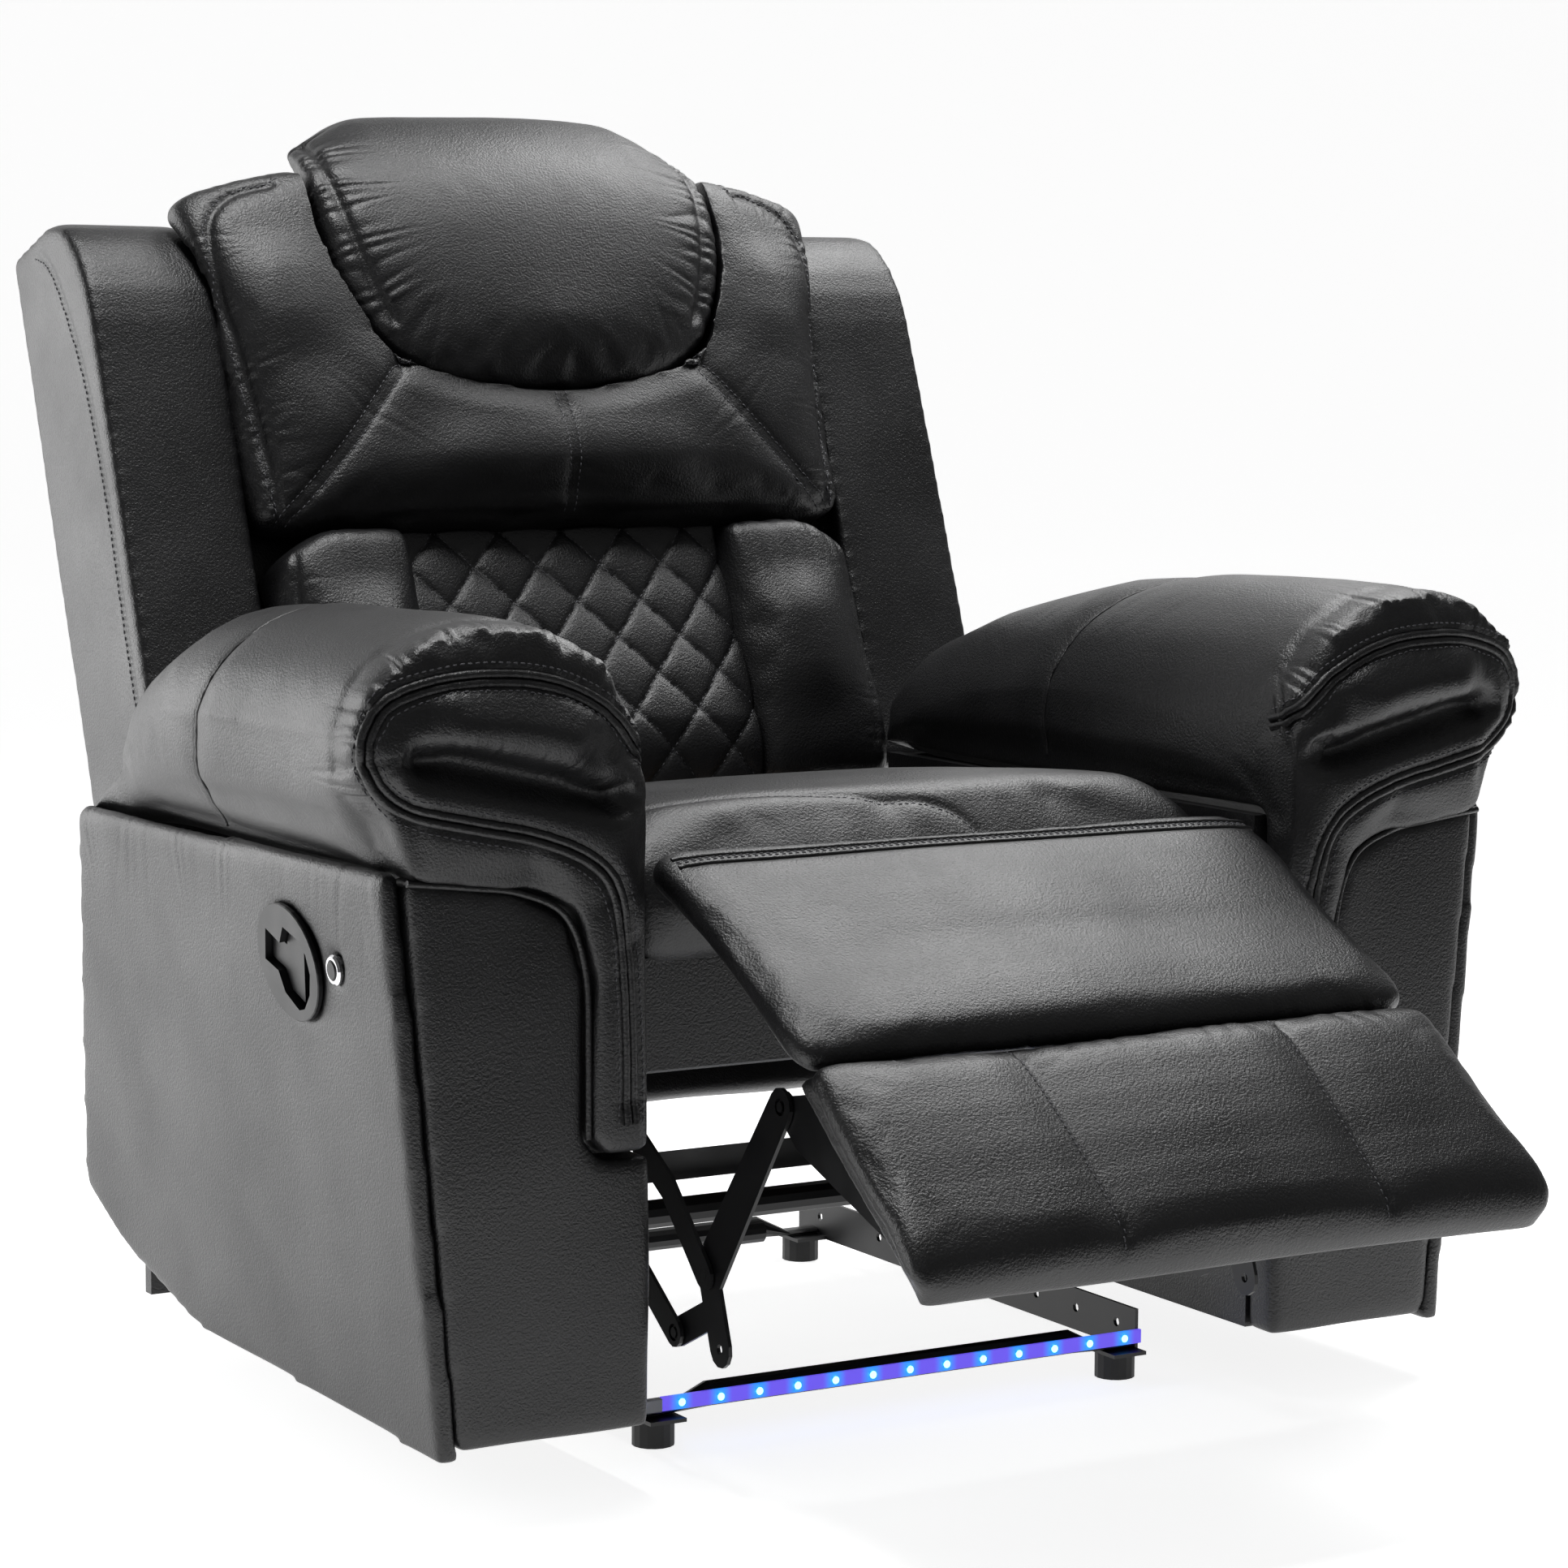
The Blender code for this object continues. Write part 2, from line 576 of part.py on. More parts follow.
def oval(centre, long_radius, short_radius, tilt, count):
    """Points round a tilted oval."""
    points = []
    for k in range(count):
        turn = 2 * pi * k / count
        a = long_radius * cos(turn)
        b = short_radius * sin(turn)
        points.append((centre[0] + a * cos(tilt) - b * sin(tilt),
                       centre[1] + a * sin(tilt) + b * cos(tilt)))
    return points


def inset(outline, distance):
    """The same closed outline drawn in by an even distance, or let out by a negative one."""
    count = len(outline)
    area = sum(outline[k][0] * outline[(k + 1) % count][1]
               - outline[(k + 1) % count][0] * outline[k][1] for k in range(count))
    turn = 1 if area > 0 else -1
    drawn = []
    for k in range(count):
        here = Vector(outline[k])
        before = (here - Vector(outline[k - 1])).normalized()
        after = (Vector(outline[(k + 1) % count]) - here).normalized()
        first = Vector((-before.y, before.x))
        second = Vector((-after.y, after.x))
        drawn.append(tuple(here + (first + second) * (turn * distance / (1 + first.dot(second)))))
    return drawn


def scaled(shares, width, height, origin=(0.0, 0.0)):
    """Outline points from shares of a width and a height."""
    return [(origin[0] + width * a, origin[1] + height * b) for a, b in shares]


def strap(path, radius, end_steps=6):
    """Outline of a link: a band of even width along path with round ends."""
    left, right = [], []
    for k in range(len(path)):
        before = Vector(path[max(k - 1, 0)])
        after = Vector(path[min(k + 1, len(path) - 1)])
        here = Vector(path[k])
        along = (after - before).normalized()
        side = Vector((-along.y, along.x))
        if 0 < k < len(path) - 1:
            leg = (here - before).normalized()
            side = side / side.dot(Vector((-leg.y, leg.x)))
        left.append(tuple(here + side * radius))
        right.append(tuple(here - side * radius))
    last = Vector(path[-1]) - Vector(path[-2])
    heading = atan2(last.y, last.x)
    first = Vector(path[1]) - Vector(path[0])
    opening = atan2(first.y, first.x)
    far_end = arc(path[-1], radius, heading - pi / 2, heading + pi / 2, end_steps)
    near_end = arc(path[0], radius, opening + pi / 2, opening + 3 * pi / 2, end_steps)
    return right[1:-1] + far_end + left[1:-1][::-1] + near_end


def combine(target, others, operation, kind):
    """Weld other solids into the target, or cut them out of it."""
    for other in others:
        step = target.modifiers.new(operation.lower(), "BOOLEAN")
        step.operation = operation
        step.solver = "EXACT"
        step.object = other
    solid = finish(to_mesh(target), kind)
    for other in others:
        bpy.data.objects.remove(other, do_unlink=True)
    return solid


def join(target, others, kind="steel"):
    """One solid from several that run into each other."""
    return combine(target, others, "UNION", kind)


def cut(target, others, kind):
    """The target with other solids cut out of it."""
    return combine(target, others, "DIFFERENCE", kind)


def loft(name, rings, frame, kind):
    """A skin through rings of equal count, closed by a face at each end."""
    bm = bmesh.new()
    rows = [[bm.verts.new(place) for place in ring] for ring in rings]
    count = len(rows[0])
    for near, far in zip(rows, rows[1:]):
        for k in range(count):
            bm.faces.new((near[k], near[(k + 1) % count], far[(k + 1) % count], far[k]))
    bm.faces.new(rows[0][::-1])
    bm.faces.new(rows[-1])
    return add_mesh(name, bm, frame, kind)


def lift(bm, faces):
    """Draw a copy of the faces one unit up, with walls between, and return the copy."""
    grown = bmesh.ops.extrude_face_region(bm, geom=faces, use_keep_orig=True)
    lifted = [item for item in grown["geom"] if isinstance(item, bmesh.types.BMVert)]
    bmesh.ops.translate(bm, vec=(0, 0, 1), verts=lifted)
    return [item for item in grown["geom"] if isinstance(item, bmesh.types.BMFace)]


def pad(name, across_shares, along_shares, shape, frame, kind):
    """A soft pad: a grid drawn out twice into a slab, each corner placed by shape(u, v, w).

    u runs across, v along, and w is 0 at the underside, 0.5 at the seam and 1 on top.
    """
    columns = len(across_shares) - 1
    rows = len(along_shares) - 1
    bm = bmesh.new()
    bmesh.ops.create_grid(bm, x_segments=columns, y_segments=rows, size=1.0)
    bottom = bm.faces[:]
    seam = lift(bm, bottom)
    lift(bm, seam)
    bmesh.ops.delete(bm, geom=seam, context="FACES")
    for vert in bm.verts:
        u = across_shares[round((vert.co.x + 1) / 2 * columns)]
        v = along_shares[round((vert.co.y + 1) / 2 * rows)]
        vert.co = shape(u, v, vert.co.z / 2)
    thing = add_mesh(name, bm, frame, kind)
    thing.data.shade_smooth()
    surface = thing.modifiers.new("soft_form", "SUBSURF")
    surface.levels = 1
    surface.render_levels = 1
    return thing


def fullness(u, v, power=4):
    """How far a stuffed cover stands up: 1 in the middle, 0 at its sewn edges."""
    return (1 - abs(u) ** power) * (1 - abs(v) ** power)


def channel(x, seam, width):
    """How deep a sewn seam pulls the cover at x: 1 on the seam, 0 away from it."""
    return max(0.0, 1 - abs(x - seam) / width)


def drawn_in(u, v, w):
    """Side share of a cushion corner: the covers are drawn in between the seam's corners."""
    return u if w == 0.5 else u * (1 - PULL_SHARE * (1 - v * v))


def side_frame(x, body=CHAIR):
    """The frame of a plate that stands fore and aft at x: outline points are (back, height)."""
    return body @ Matrix.Translation((x, 0, 0)) @ SIDE_PLANE


def rod(name, start_x, end_x, back, height, radius, body=CHAIR):
    """A round pin across the chair."""
    frame = side_frame((start_x + end_x) / 2, body)
    return flat(name, [circle((back, height), radius)], abs(end_x - start_x), frame, "steel")


def base_rails():
    """Long steel angles with a row of holes, a foot tab near each end."""
    middle = RAIL_LAYER + RAIL_WALL / 2
    outline = [(RAIL_START, TAB_BOTTOM), (RAIL_END, TAB_BOTTOM),
               (RAIL_END, RAIL_TOP), (RAIL_START, RAIL_TOP)]
    length = RAIL_END - RAIL_START
    holes = [circle((RAIL_START + length * share, (TAB_TOP + RAIL_TOP) / 2), PIN_RADIUS, 8, share)
             for share in RAIL_HOLE_SHARES]
    rail = flat("base_rail", [outline, *holes], RAIL_WALL, side_frame(middle), "steel")
    tabs = [box("rail_tab", (FOOT_SIDE - FOOT_RADIUS, back - RAIL_TAB_LENGTH / 2, TAB_BOTTOM),
                (middle, back + RAIL_TAB_LENGTH / 2, TAB_TOP), "steel", CHAIR, 0)
            for back in (FRONT_FOOT_BACK, REAR_FOOT_BACK)]
    pair(join(rail, tabs), "base_rail", "steel")


def feet():
    """Four moulded feet under the tabs."""
    for end, back in (("front", FRONT_FOOT_BACK), ("rear", REAR_FOOT_BACK)):
        bm = bmesh.new()
        bmesh.ops.create_cone(bm, cap_ends=True, segments=16, radius1=FOOT_RADIUS,
                              radius2=FOOT_RADIUS, depth=FOOT_HEIGHT)
        frame = CHAIR @ Matrix.Translation((FOOT_SIDE, back, FOOT_HEIGHT / 2))
        pair(add_mesh("foot", bm, frame, "rubber"), "foot_" + end, "rubber")


def squashed_tube(name, back, height, radius, half_length):
    """A cross tube whose ends are pressed flat for their bolts."""
    flat_length = 3 * radius
    stations = ((-half_length, TUBE_FLAT_SHARE), (flat_length - half_length, TUBE_FLAT_SHARE),
                (2 * flat_length - half_length, 1.0), (half_length - 2 * flat_length, 1.0),
                (half_length - flat_length, TUBE_FLAT_SHARE), (half_length, TUBE_FLAT_SHARE))
    rings = []
    for x, share in stations:
        middle = height - radius * (1 - share)
        rings.append([(x, back + a, middle + share * b) for a, b in circle((0, 0), radius)])
    loft(name, rings, CHAIR, "steel")


def cross_members():
    """Tubes and an angle that tie the two sides together."""
    reach = RAIL_LAYER - TOUCH
    squashed_tube("front_cross_tube", FRONT_FOOT_BACK, TUBE_HEIGHT, TUBE_RADIUS, reach)
    squashed_tube("rear_cross_tube", REAR_FOOT_BACK, TUBE_HEIGHT, TUBE_RADIUS, reach)
    reach = PLATE_LAYER - TOUCH
    squashed_tube("torque_tube", TORQUE_TUBE_BACK, TORQUE_TUBE_HEIGHT, TORQUE_TUBE_RADIUS, reach)
    front = CROSS_BRACE_BACK - CROSS_BRACE_SIZE / 2
    bottom = CROSS_BRACE_HEIGHT - CROSS_BRACE_SIZE / 2
    outline = [(front, bottom), (front + CROSS_BRACE_SIZE, bottom),
               (front + CROSS_BRACE_SIZE, bottom + RAIL_WALL), (front + RAIL_WALL, bottom + RAIL_WALL),
               (front + RAIL_WALL, bottom + CROSS_BRACE_SIZE), (front, bottom + CROSS_BRACE_SIZE)]
    flat("cross_brace", [outline], 2 * reach, side_frame(0), "steel")


def mechanism_plates():
    """Stamped side plates: they carry the links, the back's pivot, the seat box and the arms."""
    leg_front = TORQUE_TUBE_BACK - PLATE_LEG_FRONT
    leg_rear = CROSS_BRACE_BACK + PLATE_LEG_REAR
    outline = [
        (UPPER_PIVOT_BACK - PLATE_EDGE, FLANGE_TOP),
        (UPPER_PIVOT_BACK - PLATE_EDGE, UPPER_PIVOT_HEIGHT - PLATE_EDGE / 2),
        (LOWER_PIVOT_BACK - PLATE_EDGE, LOWER_PIVOT_HEIGHT - PLATE_EDGE),
        (leg_front - PLATE_EDGE, LOWER_PIVOT_HEIGHT - PLATE_EDGE),
        (leg_front, TORQUE_TUBE_HEIGHT - PLATE_EDGE),
        (leg_front, TAB_TOP - TOUCH / 3),
        (leg_rear, TAB_TOP - TOUCH / 3),
        (leg_rear, CROSS_BRACE_HEIGHT - PLATE_EDGE),
        (leg_rear + PLATE_EDGE / 2, LOWER_PIVOT_HEIGHT - PLATE_EDGE / 2),
        (RECLINE_PIVOT_BACK, RECLINE_PIVOT_HEIGHT - PLATE_EDGE),
        (RECLINE_PIVOT_BACK + PLATE_EDGE, RECLINE_PIVOT_HEIGHT),
        (RECLINE_PIVOT_BACK + PLATE_EDGE / 2, FLANGE_TOP),
    ]
    middle = PLATE_LAYER + PLATE_WALL / 2
    plate = flat("mechanism_plate", [outline], PLATE_WALL, side_frame(middle), "steel")
    flange = box("plate_flange",
                 (SEAT_RAIL_OUTER - SEAT_RAIL_WALL, UPPER_PIVOT_BACK, FLANGE_TOP - PLATE_WALL),
                 (middle, RECLINE_PIVOT_BACK - PLATE_EDGE, FLANGE_TOP - TOUCH / 3),
                 "steel", CHAIR, 0)
    spacer = box("plate_spacer",
                 (middle, LOWER_PIVOT_BACK + SPACER_SIZE, LOWER_PIVOT_HEIGHT),
                 (ARM_INNER - TOUCH, LOWER_PIVOT_BACK + 2 * SPACER_SIZE,
                  LOWER_PIVOT_HEIGHT + SPACER_SIZE), "steel", CHAIR, 0)
    leg_foot = box("leg_foot", (RAIL_LAYER + RAIL_WALL + TOUCH, leg_front, TAB_TOP),
                   (middle, leg_rear, TAB_TOP + PLATE_WALL), "steel", CHAIR, 0)
    pins = []
    for back, height in (UPPER_PIVOT, LOWER_PIVOT):
        head_end = LINK_LAYER - TOUCH
        pins.append(rod("link_pin", head_end - PIN_HEAD_HEIGHT / 2, middle, back, height, PIN_RADIUS))
        pins.append(rod("link_pin_head", head_end - PIN_HEAD_HEIGHT, head_end, back, height,
                        PIN_HEAD_RADIUS))
    pins.append(rod("recline_pin", middle, RECLINE_LAYER + PLATE_WALL + TOUCH, *RECLINE_PIVOT,
                    PIN_RADIUS))
    pair(join(plate, [flange, spacer, leg_foot, *pins]), "mechanism_plate", "steel")


def between(start, end):
    """The offset from one (back, height) place to another."""
    return end[0] - start[0], end[1] - start[1]


def link_frame(pivot, layer):
    """The frame of a link at rest: its origin lies on its pivot."""
    return side_frame(layer + LINK_WALL / 2, CHAIR @ Matrix.Translation((0, *pivot)))


def links():
    """The two swinging links on each side."""
    end = between(UPPER_PIVOT, CARRIER_PIVOT)
    bend = (end[0] * LINK_BEND_SHARE + end[1] / UPPER_LINK_LENGTH * LINK_BEND,
            end[1] * LINK_BEND_SHARE - end[0] / UPPER_LINK_LENGTH * LINK_BEND)
    outlines = [strap([(0, 0), bend, end], LINK_RADIUS), circle((0, 0), EYE_RADIUS),
                circle(end, EYE_RADIUS)]
    upper = flat("upper_link", outlines, LINK_WALL, link_frame(UPPER_PIVOT, LINK_LAYER), "steel")
    pair(upper, "upper_link", "steel")
    end = between(LOWER_PIVOT, CARRIER_FOOT)
    outlines = [strap([(0, 0), end], LINK_RADIUS), circle((0, 0), EYE_RADIUS),
                circle(end, OPEN_EYE_RADIUS)]
    lower = flat("lower_link", outlines, LINK_WALL, link_frame(LOWER_PIVOT, LINK_LAYER), "steel")
    pair(lower, "lower_link", "steel")


def carriers():
    """The wide links that carry the footrest brackets, each with its foot and stop stub."""
    top = between(CARRIER_PIVOT, BRACKET_PIN)
    toe = (CARRIER_TOE_BACK, -CARRIER_TOE_DROP)
    foot = between(CARRIER_PIVOT, CARRIER_FOOT)
    frame = link_frame(CARRIER_PIVOT, CARRIER_LAYER)
    outlines = [strap([toe, (0, 0), top], CARRIER_RADIUS), circle(top, OPEN_EYE_RADIUS),
                circle(toe, PIN_RADIUS, 8)]
    blade = flat("carrier_link", outlines, LINK_WALL, frame, "steel")
    brace = flat("carrier_foot", [strap([(toe[0] / 2, toe[1] / 2), foot], LINK_RADIUS)],
                 LINK_WALL - TOUCH, frame, "steel")
    body = CHAIR @ Matrix.Translation((0, *CARRIER_PIVOT))
    inner = CARRIER_LAYER + LINK_WALL / 2
    outer = LINK_LAYER + LINK_WALL
    stub = (top[0] * STOP_PLACE_SHARE, top[1] * STOP_PLACE_SHARE)
    pins = [rod("carrier_pin", inner, outer, 0, 0, PIN_RADIUS, body),
            rod("carrier_pin_head", CARRIER_LAYER - PIN_HEAD_HEIGHT, inner, 0, 0,
                PIN_HEAD_RADIUS, body),
            rod("foot_pin", inner, outer, *foot, PIN_RADIUS, body),
            rod("stop_stub", CARRIER_LAYER - STOP_LENGTH, inner, *stub, STOP_RADIUS, body)]
    pair(join(blade, [brace, *pins]), "carrier_link", "steel")


def seat_box():
    """Four wooden rails, the sinuous wire between them and the covered board in front."""
    inner = SEAT_RAIL_OUTER - SEAT_RAIL_WALL
    top = SEAT_UNDERSIDE - TOUCH
    apron = SEAT_FRONT_BACK + APRON_SETBACK
    front = apron + APRON_WALL + TOUCH
    start = front + SEAT_RAIL_WALL + TOUCH
    end = SEAT_BACK_END - SEAT_RAIL_WALL - TOUCH
    rail = box("seat_rail", (inner, start, SEAT_RAIL_BOTTOM), (SEAT_RAIL_OUTER, end, top),
               "wood", CHAIR)
    pair(rail, "seat_rail", "wood")
    for name, back in (("seat_rail_front", front), ("seat_rail_rear", end + TOUCH)):
        box(name, (-SEAT_RAIL_OUTER, back, SEAT_RAIL_BOTTOM),
            (SEAT_RAIL_OUTER, back + SEAT_RAIL_WALL, top), "wood", CHAIR)
    run = inner - SPRING_WIRE_RADIUS - TOUCH
    height = top - SPRING_WIRE_RADIUS - EDGE_ROUND
    start += TOUCH
    end -= TOUCH
    pitch = (end - start) / SPRING_RUNS
    places = [at(-run, start, height)]
    for k in range(SPRING_RUNS):
        side = run if k % 2 else -run
        places.append(at(side, start + pitch * (k + SPRING_TURN_SHARE), height))
        places.append(at(-side, start + pitch * (k + 1 - SPRING_TURN_SHARE), height))
    places.append(at(places[-1].x, end, height))
    tube("seat_springs", places, SPRING_WIRE_RADIUS, "steel", 1)
    box("seat_valance", (-SEAT_HALF_WIDTH, apron, APRON_BOTTOM),
        (SEAT_HALF_WIDTH, apron + APRON_WALL, top), "leather", CHAIR)


def seat_cushion():
    """The seat: high and full in front, dropping to the back, its sides drawn in."""
    length = SEAT_BACK_END - SEAT_FRONT_BACK
    thickness = SEAT_TOP - SEAT_UNDERSIDE

    def shape(u, v, w):
        back = SEAT_FRONT_BACK + length * (v + 1) / 2
        slope = max(0.0, (v + SEAT_CREST_SHARE) / (1 + SEAT_CREST_SHARE))
        edge = SEAT_EDGE_SHARE * thickness * (1 - fullness(u, v))
        rise = thickness - SEAT_REAR_DROP * slope - edge
        return Vector((SEAT_HALF_WIDTH * drawn_in(u, v, w), back, SEAT_UNDERSIDE + w * rise))

    pad("seat_cushion", WIDE_SHARES, LONG_SHARES, shape, CHAIR, "leather")


def chaise():
    """The upper footrest pad: a crowned slab that turns about the seat's front edge."""
    def shape(u, v, w):
        along = CHAISE_LENGTH * (v - 1) / 2
        side = SEAT_HALF_WIDTH * drawn_in(u, v, w)
        if v == 1:
            reach = PAD_RADIUS * (END_TIP_SHARE if w == 0.5 else END_REACH_SHARE)
            return Vector((side, along + reach, (2 * w - 1) * PAD_RADIUS * END_DEPTH_SHARE))
        reach = CHAISE_END if v == -1 else 0
        crown = PAD_CROWN * fullness(u, v, 2) if w == 1 else 0
        return Vector((side, along - reach,
                       w * (PAD_RADIUS + CHAISE_UNDERSIDE) - CHAISE_UNDERSIDE + crown))

    slab = pad("chaise_pad", WIDE_SHARES, SLAB_SHARES, shape, CHAISE_FRAME, "leather")
    hang(slab, axis_empty("chaise_axis", CHAISE_FRAME))


def ottoman():
    """The lower footrest pad with its two sewn seams, and the board behind it."""
    start = CHAISE_END + FOLD_GAP
    length = OTTOMAN_LENGTH - start - OTTOMAN_HEAD_SLANT
    thickness = OTTOMAN_PAD_TOP - OTTOMAN_PAD_SEAT
    across = list(OTTOMAN_EDGE_SHARES)
    for seam in OTTOMAN_SEAMS:
        for side in (-SEAM_SPREAD, 0, SEAM_SPREAD):
            across.append((seam + side) / SEAT_HALF_WIDTH)
    across.sort()

    def shape(u, v, w):
        crown = PAD_CROWN * fullness(u, v, 2) if w == 1 else 0
        pull = max(channel(SEAT_HALF_WIDTH * u, seam, SEAM_SPREAD) for seam in OTTOMAN_SEAMS)
        sink = PAD_SEAM_DEPTH * pull if w == 1 and abs(v) < 1 else 0
        half = SEAT_HALF_WIDTH + OTTOMAN_FLARE * (1 - v) / 2
        left = {-1: OTTOMAN_TOE_SHARE, 1: OTTOMAN_HEAD_SHARE}.get(v, 1)
        slant = OTTOMAN_HEAD_SLANT * (1 if v < 1 else w)
        return Vector((half * drawn_in(u, v, w), length * (v - 1) / 2 - start - slant,
                       OTTOMAN_PAD_SEAT + w * thickness * left + crown - sink))

    slab = pad("ottoman_pad", across, SLAB_SHARES, shape, OTTOMAN_FRAME, "leather")
    top = OTTOMAN_PAD_SEAT - TOUCH
    side = SEAT_HALF_WIDTH - BOARD_SETBACK
    board = box("ottoman_board", (-side, -OTTOMAN_LENGTH, top - OTTOMAN_BOARD_WALL),
                (side, -start, top), "leather", OTTOMAN_FRAME)
    axis = axis_empty("ottoman_axis", OTTOMAN_FRAME)
    hang(slab, axis)
    hang(board, axis)
    ottoman_brackets(axis, top - OTTOMAN_BOARD_WALL - TOUCH, start)


def ottoman_brackets(axis, seat, start):
    """Steel angles behind the board, each with the pin that the carrier holds."""
    far = -OTTOMAN_LENGTH * BRACKET_END_SHARE
    near = -start - 2 * BOARD_SETBACK
    pin = (-BRACKET_PIN_ALONG, -BRACKET_PIN_BEHIND)
    outline = [(near, seat), (far, seat), (far, seat - BRACKET_STEP),
               (-start, pin[1] - LINK_RADIUS), *arc(pin, LINK_RADIUS, -pi / 2, pi / 2, 6)]
    middle = BRACKET_LAYER + PLATE_WALL / 2
    web = flat("ottoman_bracket", [outline], PLATE_WALL, side_frame(middle, OTTOMAN_FRAME), "steel")
    flange = box("bracket_flange", (middle - BRACKET_FLANGE, far, seat - PLATE_WALL),
                 (middle, near, seat - TOUCH / 3), "steel", OTTOMAN_FRAME, 0)
    stud = rod("bracket_pin", middle, CARRIER_LAYER + LINK_WALL + TOUCH, *pin, PIN_RADIUS,
               OTTOMAN_FRAME)
    pair(join(web, [flange, stud]), "ottoman_bracket", "steel", axis)


def arm_place(share):
    """A place on the arm's front, from shares of the arm's width and height."""
    return ARM_INNER + ARM_WIDTH_TOP * share[0], ARM_ROLL_TOP * share[1]


def arm_fronts():
    """The smooth front panel, the padded front round it and the padded front's welt."""
    seam = [arm_place(share) for share in ARM_SEAM_SHARES]
    top = [arm_place(share) for share in ARM_PAD_TOP_SHARES]
    lean = (ARM_OUTER_TOP - ARM_OUTER_BOTTOM) / (ARM_PANEL_TOP - ARM_BOTTOM)
    wall = ARM_OUTER_PANEL_WALL / cos(ARM_FLARE)
    outer = [(ARM_OUTER_BOTTOM - wall - TOUCH + lean * (height - ARM_BOTTOM), height)
             for height in (ARM_FRONT_BOTTOM, seam[0][1])]
    middle = ARM_FRONT_WALL / 2
    panel = flat("arm_front_panel", [[(ARM_INNER, ARM_FRONT_BOTTOM), *outer, *seam[1:]]],
                 ARM_FRONT_WALL, CHAIR @ Matrix.Translation((0, middle, 0)) @ FRONT_PLANE, "leather")
    pair(panel, "arm_front_panel", "leather")
    face = -ARM_PAD_BULGE
    middle = (face + ARM_FRONT_WALL) / 2
    padded = flat("arm_front_pad", [inset(top + seam, SOFT_GAP)], ARM_FRONT_WALL - face,
                  CHAIR @ Matrix.Translation((0, middle, 0)) @ FRONT_PLANE, "leather")
    ease_edges(padded, ARM_PAD_ROUND, 2)
    pair(padded, "arm_front_pad", "leather")
    line = face - WELT_RADIUS - TOUCH
    route = [at(x, line, height) for x, height in (arm_place(share) for share in WELT_SHARES)]
    pair(tube("arm_welt", smooth(route, 2), WELT_RADIUS, "leather", 1), "arm_welt", "leather")


def arm_rolls():
    """The padded arm tops: full in front, falling and rounded off to the back over a full base."""
    start = ARM_FRONT_WALL + TOUCH
    rings = []
    for along, rise, wide in ROLL_RISE_SHARES:
        back = start + (ARM_ROLL_LENGTH - start) * along
        height = (ARM_ROLL_TOP - ROLL_BOTTOM) * rise
        ring = []
        for a, b in ROLL_RING_SHARES:
            forward = ROLL_END_ROUND * a * a * along ** 4 * min(1, 3 * b)
            ring.append((ARM_INNER + ARM_WIDTH_TOP * a * (1 - (1 - wide) * b), back - forward,
                         ROLL_BOTTOM + height * b))
        rings.append(ring)
    roll = round_off(loft("arm_roll", rings, CHAIR, "leather"))
    pair(roll, "arm_roll", "leather")


def arm_outer_panel(name):
    """One upholstered outer side, flared outward towards its top."""
    height = (ARM_PANEL_TOP - ARM_BOTTOM) / cos(ARM_FLARE)
    outline = scaled(OUTER_PANEL_SHARES, ARM_PANEL_LENGTH, height)
    frame = ARM_PANEL_FRAME @ Matrix.Translation((0, 0, -ARM_OUTER_PANEL_WALL / 2))
    return flat(name, [outline], ARM_OUTER_PANEL_WALL, frame, "leather")


def panel_plug(name, outline, depth):
    """A cutter through the outer panel's face, in the panel's own frame."""
    frame = ARM_PANEL_FRAME @ Matrix.Translation((0, 0, (OVERRUN - depth) / 2))
    return flat(name, [outline], depth + OVERRUN, frame, "plastic")


def cup_outline(margin):
    """The oval of the handle's cup, let out by a margin."""
    return oval(BEZEL_CENTRE, BEZEL_LONG_RADIUS - BEZEL_LIP + margin,
                BEZEL_SHORT_RADIUS - BEZEL_LIP + margin, BEZEL_TILT, 24)


def arm_sides():
    """Outer and inner sides of both arms; the right ones have holes for the controls."""
    ease_edges(arm_outer_panel("arm_outer_panel_left"), EDGE_ROUND, 1)
    through = 2 * ARM_OUTER_PANEL_WALL
    holes = [panel_plug("cup_hole", cup_outline(TOUCH), through),
             panel_plug("button_hole", circle(BUTTON_CENTRE, BUTTON_BODY_RADIUS + TOUCH, 24), through)]
    drilled = cut(arm_outer_panel("drilled_panel"), holes, "leather")
    right_side(drilled, "arm_outer_panel_right", "leather")
    finish(arm_inner_panel("arm_inner_panel_left"), "leather")
    hole = rod("cable_hole", ARM_INNER - OVERRUN, ARM_INNER + ARM_INNER_PANEL_WALL + OVERRUN,
               CABLE_END_BACK, CABLE_END_HEIGHT, CABLE_RADIUS + TOUCH)
    drilled = cut(arm_inner_panel("drilled_inner"), [hole], "leather")
    right_side(drilled, "arm_inner_panel_right", "leather")


def arm_inner_panel(name):
    """One inner side with the return that closes the arm's rear."""
    inner = box(name, (ARM_INNER, ARM_FRONT_WALL + TOUCH, ARM_FRONT_BOTTOM),
                (ARM_INNER + ARM_INNER_PANEL_WALL, ARM_INNER_PANEL_END, ROLL_BOTTOM - TOUCH),
                "leather", CHAIR, 0)
    closing = box("rear_return",
                  (ARM_INNER + ARM_INNER_PANEL_WALL / 2, ARM_INNER_PANEL_END - ARM_INNER_PANEL_WALL,
                   ARM_FRONT_BOTTOM + TOUCH / 3),
                  (ARM_OUTER_BOTTOM - ARM_OUTER_PANEL_WALL - TOUCH, ARM_INNER_PANEL_END - TOUCH / 3,
                   ARM_PANEL_TOP - TOUCH / 3), "leather", CHAIR, 0)
    return join(inner, [closing], "leather")


